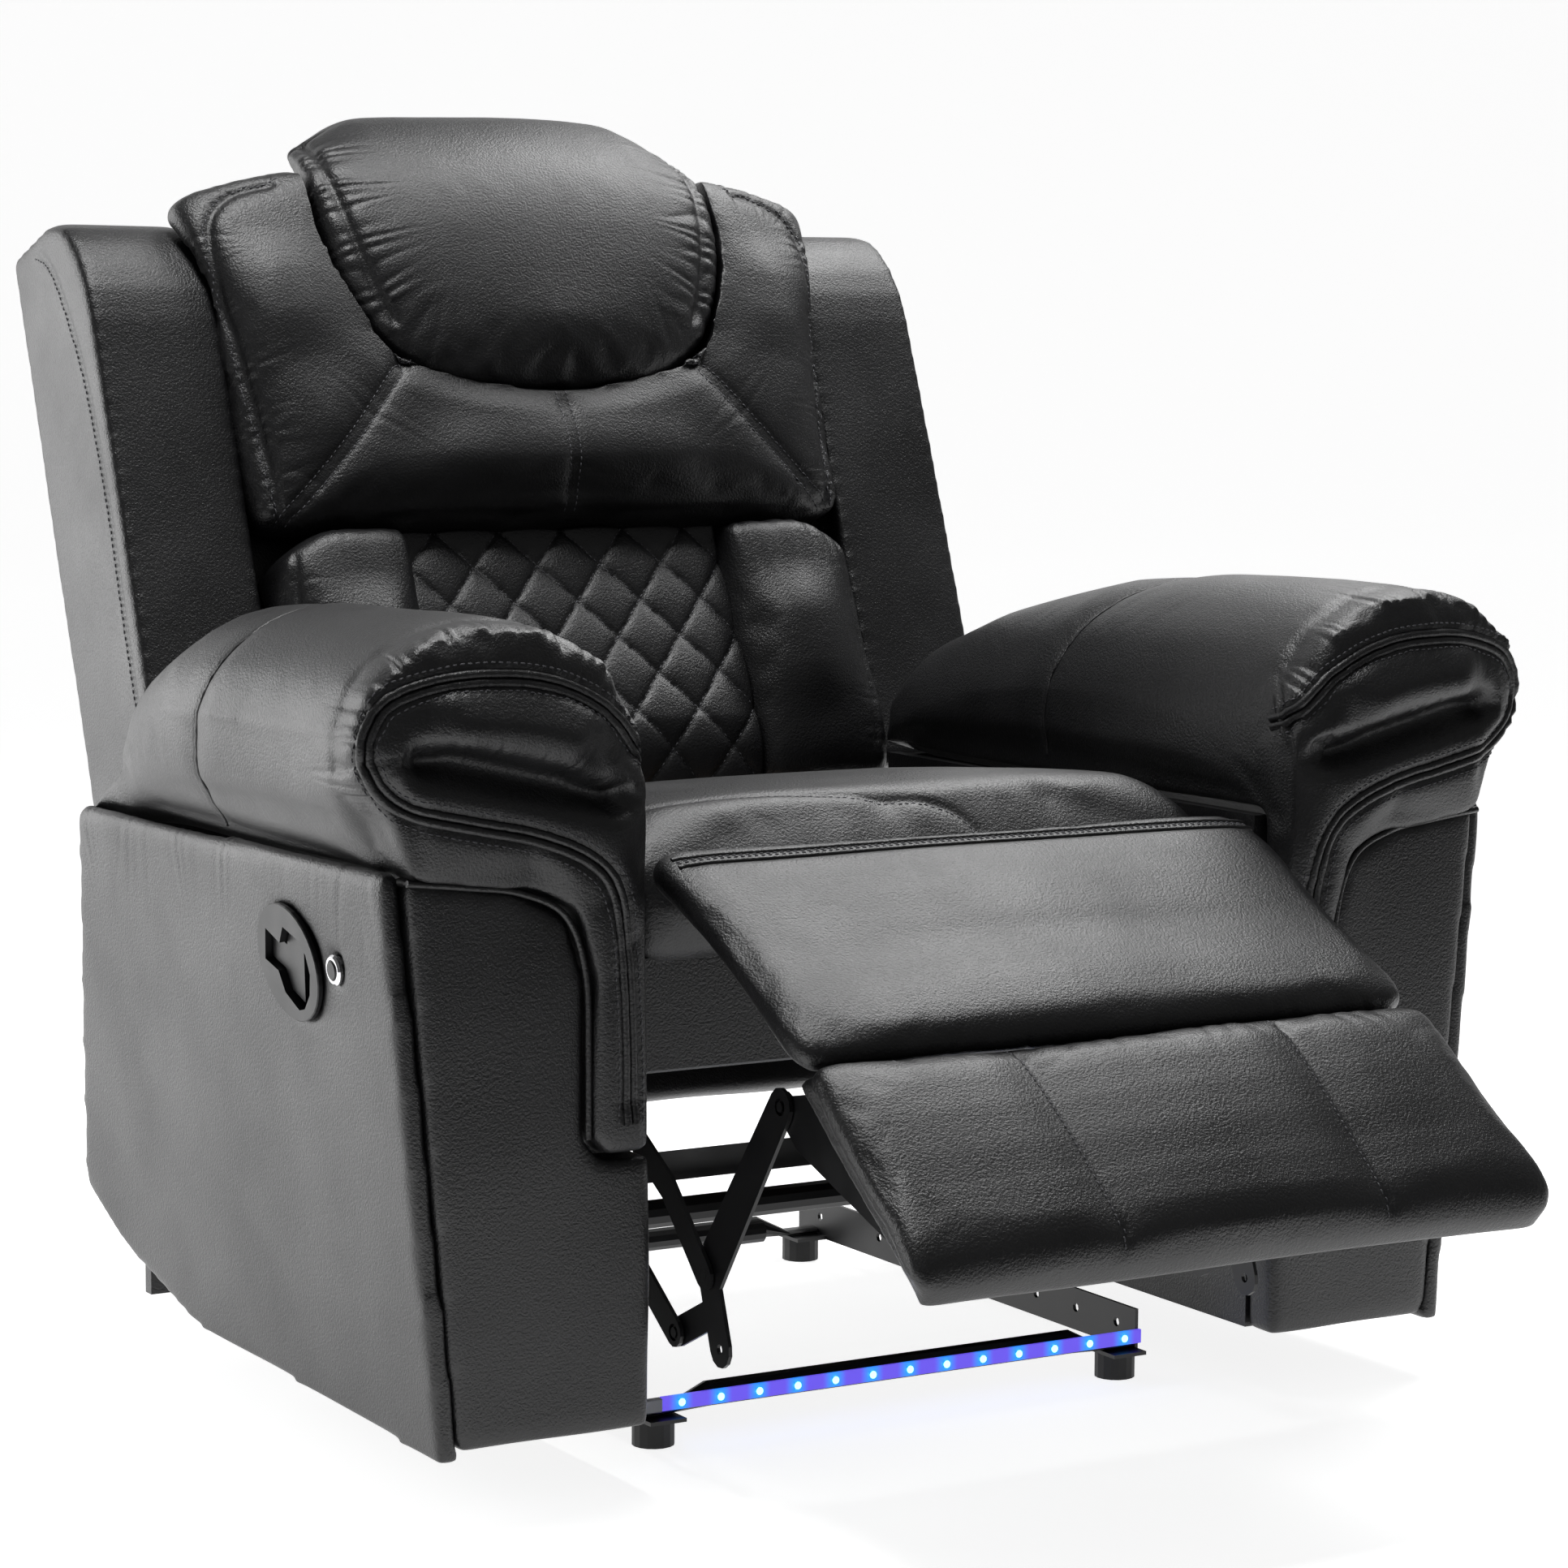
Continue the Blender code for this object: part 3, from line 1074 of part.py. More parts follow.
def right_side(source, name, kind):
    """Keep only the right-hand twin of a piece that was drawn on the left."""
    twin = mirror_copy(source, "right_twin", kind)
    bpy.data.objects.remove(source, do_unlink=True)
    twin.name = name
    return finish(twin, kind)


def handle():
    """The release handle: an oval bezel with a finger pocket, and the lever hinged in it."""
    flange = flat("handle_bezel",
                  [oval(BEZEL_CENTRE, BEZEL_LONG_RADIUS, BEZEL_SHORT_RADIUS, BEZEL_TILT, 32)],
                  BEZEL_RIM, ARM_PANEL_FRAME @ Matrix.Translation((0, 0, TOUCH + BEZEL_RIM / 2)),
                  "plastic")
    ease_edges(flange, EDGE_ROUND, 1)
    cup_frame = ARM_PANEL_FRAME @ Matrix.Translation((0, 0, TOUCH - BEZEL_CUP_DEPTH / 2))
    cup = flat("handle_cup", [cup_outline(0)], BEZEL_CUP_DEPTH + OVERRUN, cup_frame, "plastic")
    body = join(flange, [cup], "plastic")
    paddle = scaled(LEVER_SHARES, BEZEL_LONG_RADIUS, BEZEL_LONG_RADIUS, BEZEL_CENTRE)
    room = inset(paddle, -LEVER_GAP)
    pocket = scaled(FINGER_POCKET_SHARES, BEZEL_LONG_RADIUS, BEZEL_LONG_RADIUS, BEZEL_CENTRE)
    outline = [*room[:3], *pocket, *room[5:]]
    depth = BEZEL_CUP_DEPTH - BEZEL_FLOOR
    hollow = flat("pocket", [outline], depth + 2 * OVERRUN + BEZEL_RIM,
                  ARM_PANEL_FRAME @ Matrix.Translation((0, 0, OVERRUN + (BEZEL_RIM - depth) / 2)),
                  "plastic")
    bore = lever_pin("pin_bore", LEVER_PIN_RADIUS + TOUCH, TOUCH)
    body = cut(body, [hollow, bore], "plastic")
    right_side(round_off(body), "handle_bezel", "plastic")
    blade = flat("release_lever", [paddle], LEVER_WALL,
                 ARM_PANEL_FRAME @ Matrix.Translation((0, 0, -LEVER_SINK - LEVER_WALL / 2)), "plastic")
    lever = join(lever_pin("release_lever", LEVER_PIN_RADIUS, 0), [blade], "plastic")
    right_side(lever, "release_lever", "plastic")


def lever_pin(name, radius, margin):
    """The lever's hinge pin, or with a margin the bore that it turns in."""
    low = BEZEL_LONG_RADIUS * LEVER_PIN_LOW_SHARE - margin
    high = BEZEL_LONG_RADIUS * LEVER_PIN_HIGH_SHARE + margin
    bm = bmesh.new()
    bmesh.ops.create_cone(bm, cap_ends=True, segments=12, radius1=radius, radius2=radius,
                          depth=high - low)
    middle = (BEZEL_CENTRE[0] + BEZEL_LONG_RADIUS * LEVER_AXIS_SHARE,
              BEZEL_CENTRE[1] + (low + high) / 2, -LEVER_SINK - LEVER_WALL / 2)
    frame = ARM_PANEL_FRAME @ Matrix.Translation(middle) @ Matrix.Rotation(pi / 2, 4, "X")
    return add_mesh(name, bm, frame, "plastic")


def button():
    """The light's push button: a chrome ring with a floor, and the cap that slides in it."""
    bore = BUTTON_CAP_RADIUS + TOUCH
    frame = ARM_PANEL_FRAME @ Matrix.Translation((*BUTTON_CENTRE, TOUCH))
    lip = BUTTON_RING_LIP
    floor = BUTTON_FLOOR - BUTTON_BODY_DEPTH
    ring = [(0, -BUTTON_BODY_DEPTH), (BUTTON_BODY_RADIUS, -BUTTON_BODY_DEPTH),
            (BUTTON_BODY_RADIUS, 0), (BUTTON_RING_RADIUS, 0), (BUTTON_RING_RADIUS, lip / 2),
            (BUTTON_RING_RADIUS - lip / 2, lip), (bore, lip), (bore, floor), (0, floor)]
    right_side(turned("button_ring", ring, frame, "chrome"), "button_ring", "chrome")
    radius = BUTTON_CAP_RADIUS
    cap = [(0, -BUTTON_CAP_DEPTH), (radius, -BUTTON_CAP_DEPTH), (radius, lip),
           (radius - BUTTON_CAP_RISE / 2, lip + BUTTON_CAP_RISE / 2), (0, lip + BUTTON_CAP_RISE / 2)]
    right_side(turned("button_cap", cap, frame, "plastic"), "button_cap", "plastic")


def release_cable():
    """The sheathed cable inside the right arm, from the handle's cup to the side plate."""
    slant = BEZEL_CUP_DEPTH + OVERRUN / 2 + TOUCH
    cup_x = ARM_OUTER_BOTTOM + BEZEL_CENTRE[1] * sin(ARM_FLARE) - slant * cos(ARM_FLARE)
    plate_x = PLATE_LAYER + PLATE_WALL + TOUCH
    straight = 2 * CABLE_RADIUS
    start = (cup_x - CABLE_RADIUS * sin(ARM_FLARE), BEZEL_BACK, BEZEL_HEIGHT)
    route = [start, (start[0] - straight, *start[1:]), (start[0] - 3 * straight, *start[1:]),
             *[(ARM_INNER + x, back, height) for x, back, height in CABLE_BENDS],
             (ARM_INNER + 7 * straight, CABLE_END_BACK, CABLE_END_HEIGHT),
             (ARM_INNER + 4 * straight, CABLE_END_BACK, CABLE_END_HEIGHT),
             (ARM_INNER, CABLE_END_BACK, CABLE_END_HEIGHT),
             (plate_x + straight, CABLE_END_BACK, CABLE_END_HEIGHT),
             (plate_x, CABLE_END_BACK, CABLE_END_HEIGHT)]
    places = [at(-x, back, height) for x, back, height in route]
    tube("release_cable", smooth(places, 4), CABLE_RADIUS, "rubber", 2)


def light_strip():
    """The strip of raised lights on the front tube, and its plug-in connector."""
    back = FRONT_FOOT_BACK - TUBE_RADIUS - TOUCH
    bottom = TUBE_HEIGHT - STRIP_HEIGHT / 2
    reach = RAIL_LAYER + RAIL_WALL
    start = CONNECTOR_LENGTH + TOUCH - reach
    top = TUBE_HEIGHT + STRIP_HEIGHT / 2
    board = box("led_strip", (start, back - STRIP_WALL, bottom), (reach, back, top),
                "light", CHAIR, 0)
    pitch = (reach - start) / LED_COUNT
    lights = []
    for k in range(LED_COUNT):
        x = start + pitch * (k + 0.5)
        lights.append(box("led", (x - LED_SIZE / 2, back - STRIP_WALL - LED_RISE,
                                  TUBE_HEIGHT - LED_SIZE / 2),
                          (x + LED_SIZE / 2, back - STRIP_WALL / 2, TUBE_HEIGHT + LED_SIZE / 2),
                          "light", CHAIR, 0))
    join(board, lights, "light")
    box("led_connector", (-reach, back - CONNECTOR_WALL, bottom), (start - TOUCH, back, top),
        "connector", CHAIR, EDGE_ROUND / 2)


def wing_outline(margin=0.0):
    """Side profile of a wing, as (behind, up), let out by a margin."""
    corner = arc((WING_FRONT + WING_CORNER_DEPTH, WING_TOP - WING_CORNER_HEIGHT), WING_CORNER_DEPTH,
                 pi, pi / 2, 6, WING_CORNER_HEIGHT)
    outline = [(WING_REAR, WING_TOP), (WING_REAR, WING_BOTTOM), (WING_FRONT, WING_BOTTOM), *corner]
    return inset(outline, -margin) if margin else outline


def back_board():
    """The back's covered board and the padded rear panel."""
    board = box("back_frame",
                (TOUCH - WING_INNER + BATTEN_WALL / 3, BACK_FRAME_FRONT, BACK_FRAME_BOTTOM),
                (WING_INNER - BATTEN_WALL / 3 - TOUCH, BACK_FRAME_FRONT + BACK_FRAME_WALL,
                 BACK_FRAME_TOP), "leather", BACK_FRAME)
    rear = BACK_FRAME_FRONT + BACK_FRAME_WALL + TOUCH
    face = WING_REAR - BACK_PANEL_WALL
    low_side = ARM_INNER - SOFT_GAP
    high_side = WING_INNER - TOUCH
    half = [(low_side, BACK_PANEL_BOTTOM), (low_side, WING_BOTTOM), (high_side, WING_BOTTOM + TOUCH),
            (high_side, BACK_PANEL_TOP)]
    outline = half + [(-x, height) for x, height in reversed(half)]
    middle = WING_REAR - BACK_PANEL_WALL / 2
    panel = flat("back_rear_panel", [outline], BACK_PANEL_WALL,
                 BACK_FRAME @ Matrix.Translation((0, middle, 0)) @ FRONT_PLANE, "leather")
    battens = []
    for side in (-1, 1):
        sides = sorted((side * (low_side - TOUCH), side * (low_side - BATTEN_WALL)))
        battens.append(box("batten", (sides[0], rear, BACK_FRAME_BOTTOM),
                           (sides[1], face + OVERRUN, BACK_FRAME_TOP - BATTEN_WALL / 2),
                           "wood", BACK_FRAME, 0))
    battens.append(box("batten", (TOUCH - low_side, rear, BACK_FRAME_TOP - BATTEN_WALL),
                       (low_side - TOUCH, face + OVERRUN, BACK_FRAME_TOP - TOUCH),
                       "wood", BACK_FRAME, 0))
    panel = join(panel, battens, "leather")
    return [board, panel]


def recline_brackets(axis):
    """Steel plates that hang the back on the side plates' pins."""
    front = BACK_FRAME_FRONT - TOUCH
    outline = [*arc((0, 0), PLATE_EDGE, pi, 2 * pi, 8), (front, BRACKET_PLATE_BOTTOM),
               (front, BRACKET_PLATE_TOP), (front - PLATE_EDGE, BRACKET_PLATE_TOP)]
    middle = RECLINE_LAYER + PLATE_WALL / 2
    web = flat("recline_bracket", [outline, circle((0, 0), EYE_RADIUS)], PLATE_WALL,
               side_frame(middle, BACK_FRAME), "steel")
    flange = box("bracket_flange", (middle - BRACKET_PLATE_WIDTH, front - PLATE_WALL,
                                    BRACKET_PLATE_BOTTOM),
                 (middle, front - TOUCH / 3, BRACKET_PLATE_TOP - TOUCH), "steel", BACK_FRAME, 0)
    pair(join(web, [flange]), "recline_bracket", "steel", axis)


def wings(axis):
    """The upholstered side wings."""
    wing = flat("back_wing", [wing_outline()], WING_OUTER - WING_INNER,
                side_frame((WING_OUTER + WING_INNER) / 2, BACK_FRAME), "leather")
    ease_edges(wing, WING_ROUND, 2)
    pair(wing, "back_wing", "leather", axis)


def back_cushion(name, across_shares, along_shares, low, high, side, front, crown=0.0):
    """A cushion on the back's board: side(u, v) places a corner across, front(u, v) its face.

    A crowned cushion is higher in the middle of its top than at the top's corners.
    """
    def shape(u, v, w):
        height = low + (high - low) * (v + 1) / 2 + crown * (1 - 2 * u ** 4) * max(v, 0) ** 2
        face = front(u, v) - BACK_PAD_REAR
        return Vector((side(drawn_in(u, v, w), v), height, BACK_PAD_REAR + face * w))

    return pad(name, across_shares, along_shares, shape, BACK_PAD_FRAME, "leather")


def shoulder_cushion():
    """The wide shoulder cushion, cut clear of the wings and of the head pillow's bed."""
    def side(u, v):
        grow = (SHOULDER_HALF_WIDTH_TOP - SHOULDER_HALF_WIDTH_BOTTOM) * (v + 1) / 2
        return u * (SHOULDER_HALF_WIDTH_BOTTOM + grow)

    def front(u, v):
        return SHOULDER_BULGE * (1 - SHOULDER_SIDE_FALL_SHARE * u ** 4
                                 - SHOULDER_TOP_FALL_SHARE * max(v, 0) ** 3)

    cushion = back_cushion("shoulder_cushion", WIDE_SHARES, LONG_SHARES, SHOULDER_BOTTOM,
                           SHOULDER_TOP, side, front, SHOULDER_CROWN)
    clear = [pillow_form("pillow_room", SOFT_GAP)]
    for sign in (-1, 1):
        wide = WING_OUTER - WING_INNER + 2 * SOFT_GAP
        clear.append(flat("wing_room", [wing_outline(SOFT_GAP)], wide,
                          side_frame(sign * (WING_OUTER + WING_INNER) / 2, BACK_FRAME), "leather"))
    return round_off(cut(cushion, clear, "leather"))


def pillow_form(name, margin=0.0):
    """The head pillow's full, round-bottomed form, let out by a margin."""
    def shape(u, v, w):
        low = max(0.0, -v)
        high = max(0.0, v)
        taper = (1 - HEAD_BOTTOM_WIDTH_SHARE) * low ** 2 + (1 - HEAD_TOP_WIDTH_SHARE) * high ** 2
        half = (HEAD_HALF_WIDTH + margin) * (1 - taper)
        middle = (HEAD_TOP + HEAD_BOTTOM) / 2
        reach = (HEAD_TOP - HEAD_BOTTOM) / 2 + margin
        height = middle + reach * v + HEAD_CORNER_RISE * u ** 2 * low
        height -= HEAD_CORNER_DROP * u ** 4 * high ** 2
        lean = max(0.0, height - SHOULDER_TOP) / (HEAD_TOP - SHOULDER_TOP)
        rear = -RECESS_DEPTH - HEAD_LEAN_BACK * lean - margin
        face = HEAD_BULGE * (1 - HEAD_SIDE_FALL_SHARE * u ** 4) - HEAD_TOP_FALL * high ** HEAD_TOP_POWER
        return Vector((half * drawn_in(u, v, w), height, rear + (face - rear) * w))

    return pad(name, WIDE_SHARES, PILLOW_SHARES, shape, BACK_PAD_FRAME, "leather")


def lumbar_front(bulge, top_bulge, v):
    """How far the lumbar cushions stand out, from their foot (v = -1) to their top (v = 1)."""
    crest = LUMBAR_CREST_SHARE
    if v < crest:
        return bulge * (1 - ((crest - v) * LUMBAR_FOOT_SHARE) ** 2)
    share = (v - crest) / (1 - crest)
    return bulge + (top_bulge - bulge) * share


def bolsters(axis):
    """Plain bolsters on both sides of the quilt."""
    inner = QUILT_HALF_WIDTH + SOFT_GAP / 2
    centre = (inner + BOLSTER_OUTER) / 2
    half = (BOLSTER_OUTER - inner) / 2
    bolster = back_cushion(
        "lumbar_bolster", BOLSTER_SHARES, LONG_SHARES, LUMBAR_BOTTOM,
        SHOULDER_BOTTOM - SOFT_GAP, lambda u, v: centre + half * u,
        lambda u, v: lumbar_front(BOLSTER_BULGE, LUMBAR_BULGE, v) * (1 - SIDE_FALL_SHARE * u ** 2))
    bolster = finish(to_mesh(bolster), "leather")
    pair(round_off(bolster), "lumbar_bolster", "leather", axis)


def lumbar_quilt():
    """The quilted lumbar panel: diamonds that stand up between sewn valleys."""
    top = SHOULDER_BOTTOM - SOFT_GAP
    columns = 4 * DIAMONDS_ACROSS
    rows = round(4 * DIAMONDS_HIGH)
    bm = bmesh.new()
    bmesh.ops.create_grid(bm, x_segments=columns, y_segments=rows, size=1.0)
    for vert in bm.verts:
        a = round((vert.co.x + 1) / 2 * columns)
        b = round((vert.co.y + 1) / 2 * rows)
        dome = abs(sin(pi * (a + b) / 4) * sin(pi * (a - b) / 4)) ** 0.5
        across = 2 * a / columns - 1
        along = 2 * b / rows - 1
        face = lumbar_front(LUMBAR_BULGE, LUMBAR_TOP_BULGE, along) * (1 - SIDE_FALL_SHARE * across ** 6)
        vert.co = (QUILT_HALF_WIDTH * across, LUMBAR_BOTTOM + (top - LUMBAR_BOTTOM) * b / rows,
                   face - QUILT_HEIGHT * (1 - dome))
        vert.index = b * (columns + 1) + a
    for face in bm.faces[:]:
        low = min(face.verts, key=lambda vert: vert.index)
        high = max(face.verts, key=lambda vert: vert.index)
        a, b = low.index % (columns + 1), low.index // (columns + 1)
        if (a - b) % 4 == 0 or ((a + b + 1) % 4 != 0 and (a - b) % 2 == 0):
            bmesh.utils.face_split(face, low, high)
        else:
            others = [vert for vert in face.verts if vert not in (low, high)]
            bmesh.utils.face_split(face, *others)
    drawn = bmesh.ops.extrude_face_region(bm, geom=bm.faces[:], use_keep_orig=True)
    rear = [item for item in drawn["geom"] if isinstance(item, bmesh.types.BMFace)]
    for vert in {vert for face in rear for vert in face.verts}:
        vert.co.z = BACK_PAD_REAR
    bmesh.ops.dissolve_faces(bm, faces=rear)
    return add_mesh("lumbar_quilt", bm, BACK_PAD_FRAME, "leather")


def back():
    """Everything that reclines, hung on the recline axis."""
    axis = axis_empty("recline_axis", BACK_FRAME)
    recline_brackets(axis)
    wings(axis)
    bolsters(axis)
    for piece in (*back_board(), shoulder_cushion(), pillow_form("head_pillow"), lumbar_quilt()):
        hang(piece, axis)


base_rails()
feet()
cross_members()
mechanism_plates()
links()
carriers()
seat_box()
seat_cushion()
chaise()
ottoman()
arm_fronts()
arm_rolls()
arm_sides()
handle()
button()
release_cable()
light_strip()
back()
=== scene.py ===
# %% [markdown]
# # Dressing a home theater recliner
# The chair's solids come in as a fixed frame: every piece made below sits on one of
# them and rides on one of its bodies. The solids give places and sizes; this script
# gives what the eye sees: stuffed covers, sewn seams, gathers, thread and finishes.

# %% Load the frame and note its size
import json
import bpy
import bmesh
import numpy as np
from math import cos, pi, radians, sin
from mathutils import Matrix, Vector
from mathutils.bvhtree import BVHTree


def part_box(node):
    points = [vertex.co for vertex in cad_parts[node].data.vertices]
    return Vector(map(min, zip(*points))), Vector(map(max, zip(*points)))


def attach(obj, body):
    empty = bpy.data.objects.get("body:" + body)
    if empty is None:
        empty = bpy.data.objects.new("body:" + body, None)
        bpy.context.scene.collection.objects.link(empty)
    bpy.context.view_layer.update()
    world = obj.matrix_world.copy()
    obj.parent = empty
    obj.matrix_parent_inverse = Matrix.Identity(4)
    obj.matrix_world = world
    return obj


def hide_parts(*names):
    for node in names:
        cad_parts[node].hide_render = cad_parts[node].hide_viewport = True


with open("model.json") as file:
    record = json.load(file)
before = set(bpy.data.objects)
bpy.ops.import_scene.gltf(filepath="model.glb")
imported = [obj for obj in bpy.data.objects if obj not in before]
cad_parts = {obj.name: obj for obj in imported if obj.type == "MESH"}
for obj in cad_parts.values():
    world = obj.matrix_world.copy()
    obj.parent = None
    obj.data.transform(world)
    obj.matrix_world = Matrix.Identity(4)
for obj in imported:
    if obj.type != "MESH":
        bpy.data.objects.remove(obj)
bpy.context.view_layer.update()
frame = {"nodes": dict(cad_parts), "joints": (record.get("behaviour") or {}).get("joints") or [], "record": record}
MM = 0.001

# %% [markdown]
# Each part of the chair leans its own way, so each gets a frame of its own: the back
# counts from its pivot with z up the back and y to the rear, and the two footrest
# pads count from their hinges with y running back towards the seat.

# %% Frames of the leaning parts
BACK_LEAN = radians(20)
CHAISE_SLOPE = radians(29)
OTTOMAN_SLOPE = radians(38.5)
HINGES = {joint["name"]: Vector(joint["pos_m"]) for joint in frame["joints"] if "pos_m" in joint}


def leaning(hinge, angle):
    """A frame on a hinge, turned about the chair's cross axis."""
    return Matrix.Translation(HINGES[hinge]) @ Matrix.Rotation(angle, 4, "X")


BACK = leaning("back_recline", -BACK_LEAN)
CHAISE = leaning("footrest_extend", CHAISE_SLOPE)
OTTOMAN = leaning("footrest_fold", OTTOMAN_SLOPE)
ARM_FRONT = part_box("arm_front_panel_left")[0][1]
CHAIR = Matrix.Translation((0, ARM_FRONT, 0))
print("arm fronts at y =", round(ARM_FRONT, 4))

# %% [markdown]
# The camera stands where the photograph was taken from, at the sitter's right front and
# a little above the seat. Its place and lens were solved from the chair's own straight
# edges, so the pieces below can be judged against the picture one by one.

# %% Camera
CAMERA_PLACE = CHAIR @ Vector((-1.78335, -2.69013, 0.867735))
CAMERA_YAW = 0.539244
CAMERA_DIP = 0.111486
CAMERA_ROLL = -0.0065656
FOCAL_PIXELS = 5310.5
PHOTO_PIXELS = 1932
SENSOR = 36.0

lens = bpy.data.cameras.new("camera")
lens.sensor_width = SENSOR
lens.lens = FOCAL_PIXELS / PHOTO_PIXELS * SENSOR
camera = bpy.data.objects.new("camera", lens)
bpy.context.scene.collection.objects.link(camera)
camera.matrix_world = (Matrix.Translation(CAMERA_PLACE) @ Matrix.Rotation(-CAMERA_YAW, 4, "Z")
                       @ Matrix.Rotation(pi / 2 - CAMERA_DIP, 4, "X")
                       @ Matrix.Rotation(-CAMERA_ROLL, 4, "Z"))
bpy.context.scene.camera = camera
print("lens of", round(lens.lens, 1), "mm")

# %% [markdown]
# Blender mixes light in linear values, while colours are picked as sRGB hex. One
# function turns the one into the other, and one adds a shader node with its settings
# and links, so that each material below reads as a short recipe.

# %% Colour and node helpers
def linear(code):
    """An sRGB hex colour as linear red, green, blue and alpha."""
    parts = [int(code[k:k + 2], 16) / 255 for k in (1, 3, 5)]
    return [c / 12.92 if c <= 0.04045 else ((c + 0.055) / 1.055) ** 2.4 for c in parts] + [1.0]


def node(tree, kind, inputs, **settings):
    """Add a shader node: settings are its own, inputs are values or other nodes' outputs."""
    made = tree.nodes.new("ShaderNode" + kind)
    for name, value in settings.items():
        setattr(made, name, value)
    for name, value in inputs.items():
        if isinstance(value, bpy.types.NodeSocket):
            tree.links.new(value, made.inputs[name])
        else:
            made.inputs[name].default_value = value
    return made


def new_material(name):
    """A material with an empty Principled shader, its tree and its place coordinates."""
    material = bpy.data.materials.new(name)
    material.use_nodes = True
    tree = material.node_tree
    shader = tree.nodes["Principled BSDF"]
    place = node(tree, "TexCoord", {}).outputs["Object"]
    return material, tree, shader, place


# %% [markdown]
# The cover is black bonded leather: ground leather on a cloth back, coated, and pressed
# with a fine pebble grain of about 1.4 mm. The coat gives a broad soft highlight, the
# grain breaks it up, and handling leaves patches that are a little duller. The grain is
# a cell pattern turned into bump, drawn at 2 mm so that it still shows.

# %% Bonded leather
LEATHER = "#0b0b0d"
LEATHER_WORN = "#141416"
GRAIN = 2.0 * MM
HANDLED_PATCH = 90 * MM


def bonded_leather():
    """Black bonded leather with a pressed pebble grain."""
    material, tree, shader, place = new_material("bonded_leather_black")
    patches = node(tree, "TexNoise", {"Vector": place, "Scale": 1 / HANDLED_PATCH, "Detail": 4.0})
    tone = node(tree, "MapRange", {"Value": patches.outputs["Fac"], "From Min": 0.35, "From Max": 0.7})
    colour = node(tree, "Mix", {"Factor": tone.outputs["Result"], "A": linear(LEATHER),
                                "B": linear(LEATHER_WORN)}, data_type="RGBA")
    gloss = node(tree, "MapRange", {"Value": patches.outputs["Fac"], "From Min": 0.3, "From Max": 0.7,
                                    "To Min": 0.36, "To Max": 0.46})
    pebble = node(tree, "TexVoronoi", {"Vector": place, "Scale": 1 / GRAIN}, feature="SMOOTH_F1")
    pores = node(tree, "TexNoise", {"Vector": place, "Scale": 2 / GRAIN, "Detail": 2.0})
    height = node(tree, "Math", {0: pebble.outputs["Distance"], 1: pores.outputs["Fac"]}, operation="ADD")
    grain = node(tree, "Bump", {"Height": height.outputs[0], "Strength": 0.7, "Distance": 0.5 * MM},
                 invert=True)
    tree.links.new(colour.outputs["Result"], shader.inputs["Base Color"])
    tree.links.new(gloss.outputs["Result"], shader.inputs["Roughness"])
    tree.links.new(grain.outputs["Normal"], shader.inputs["Normal"])
    shader.inputs["IOR"].default_value = 1.5
    shader.inputs["Specular IOR Level"].default_value = 0.7
    return material


LEATHER_COVER = bonded_leather()
print("made", LEATHER_COVER.name)


# %% [markdown]
# Hard parts next. The linkage is mild steel in black baked enamel, which has a slight
# orange peel of about 2 mm. Bezel and lever are moulded ABS with a fine spark-eroded
# texture. Hidden rails are sawn pine, feet are nylon, thread is bonded nylon.

# %% Finishes of the hard parts
def coated(name, colour, roughness, metallic, texture, depth, wear=None):
    """A hard finish with an even fine texture; wear is the colour of its rubbed patches."""
    material, tree, shader, place = new_material(name)
    fine = node(tree, "TexNoise", {"Vector": place, "Scale": 1 / texture, "Detail": 3.0})
    bump = node(tree, "Bump", {"Height": fine.outputs["Fac"], "Strength": 0.4, "Distance": depth})
    broad = node(tree, "TexNoise", {"Vector": place, "Scale": 1 / (40 * MM), "Detail": 5.0})
    rub = node(tree, "MapRange", {"Value": broad.outputs["Fac"], "From Min": 0.55, "From Max": 0.75})
    tint = node(tree, "Mix", {"Factor": rub.outputs["Result"], "A": linear(colour),
                              "B": linear(wear or colour)}, data_type="RGBA")
    dull = node(tree, "MapRange", {"Value": broad.outputs["Fac"], "From Min": 0.3, "From Max": 0.7,
                                   "To Min": roughness * 0.85, "To Max": roughness * 1.15})
    tree.links.new(tint.outputs["Result"], shader.inputs["Base Color"])
    tree.links.new(dull.outputs["Result"], shader.inputs["Roughness"])
    tree.links.new(bump.outputs["Normal"], shader.inputs["Normal"])
    shader.inputs["Metallic"].default_value = metallic
    return material


FINISH = {
    "leather": LEATHER_COVER,
    "black_steel": coated("baked_enamel_on_steel", "#101012", 0.34, 0.0, 2 * MM, 0.05 * MM, "#1b1b1d"),
    "plastic": coated("moulded_abs_black", "#131315", 0.42, 0.0, 0.5 * MM, 0.04 * MM, "#19191b"),
    "chrome": coated("chrome_on_brass", "#e4e4e6", 0.10, 1.0, 30 * MM, 0.01 * MM),
    "foot_rubber": coated("moulded_nylon_black", "#0f0f10", 0.55, 0.0, 0.8 * MM, 0.05 * MM),
    "cable_sheath": coated("extruded_pvc_black", "#101011", 0.5, 0.0, 3 * MM, 0.02 * MM),
    "light_plug": coated("moulded_abs_white", "#e8eaf2", 0.35, 0.0, 4 * MM, 0.02 * MM),
}
THREAD = coated("bonded_nylon_thread", "#5c5c60", 0.5, 0.0, 0.4 * MM, 0.1 * MM)
print("finishes:", ", ".join(sorted(FINISH)))

# %% [markdown]
# Sawn pine is stretched noise: fine across the grain, long along it. The light strip is
# a flexible board in clear resin that the small lights inside flood with blue, so it
# glows by itself, and each lens on it glows nearly white.

# %% Pine and the lit strip
def points(piece):
    """The piece's points as rows of x, y, z."""
    flat = np.empty(len(piece.data.vertices) * 3)
    piece.data.vertices.foreach_get("co", flat)
    return flat.reshape(-1, 3)


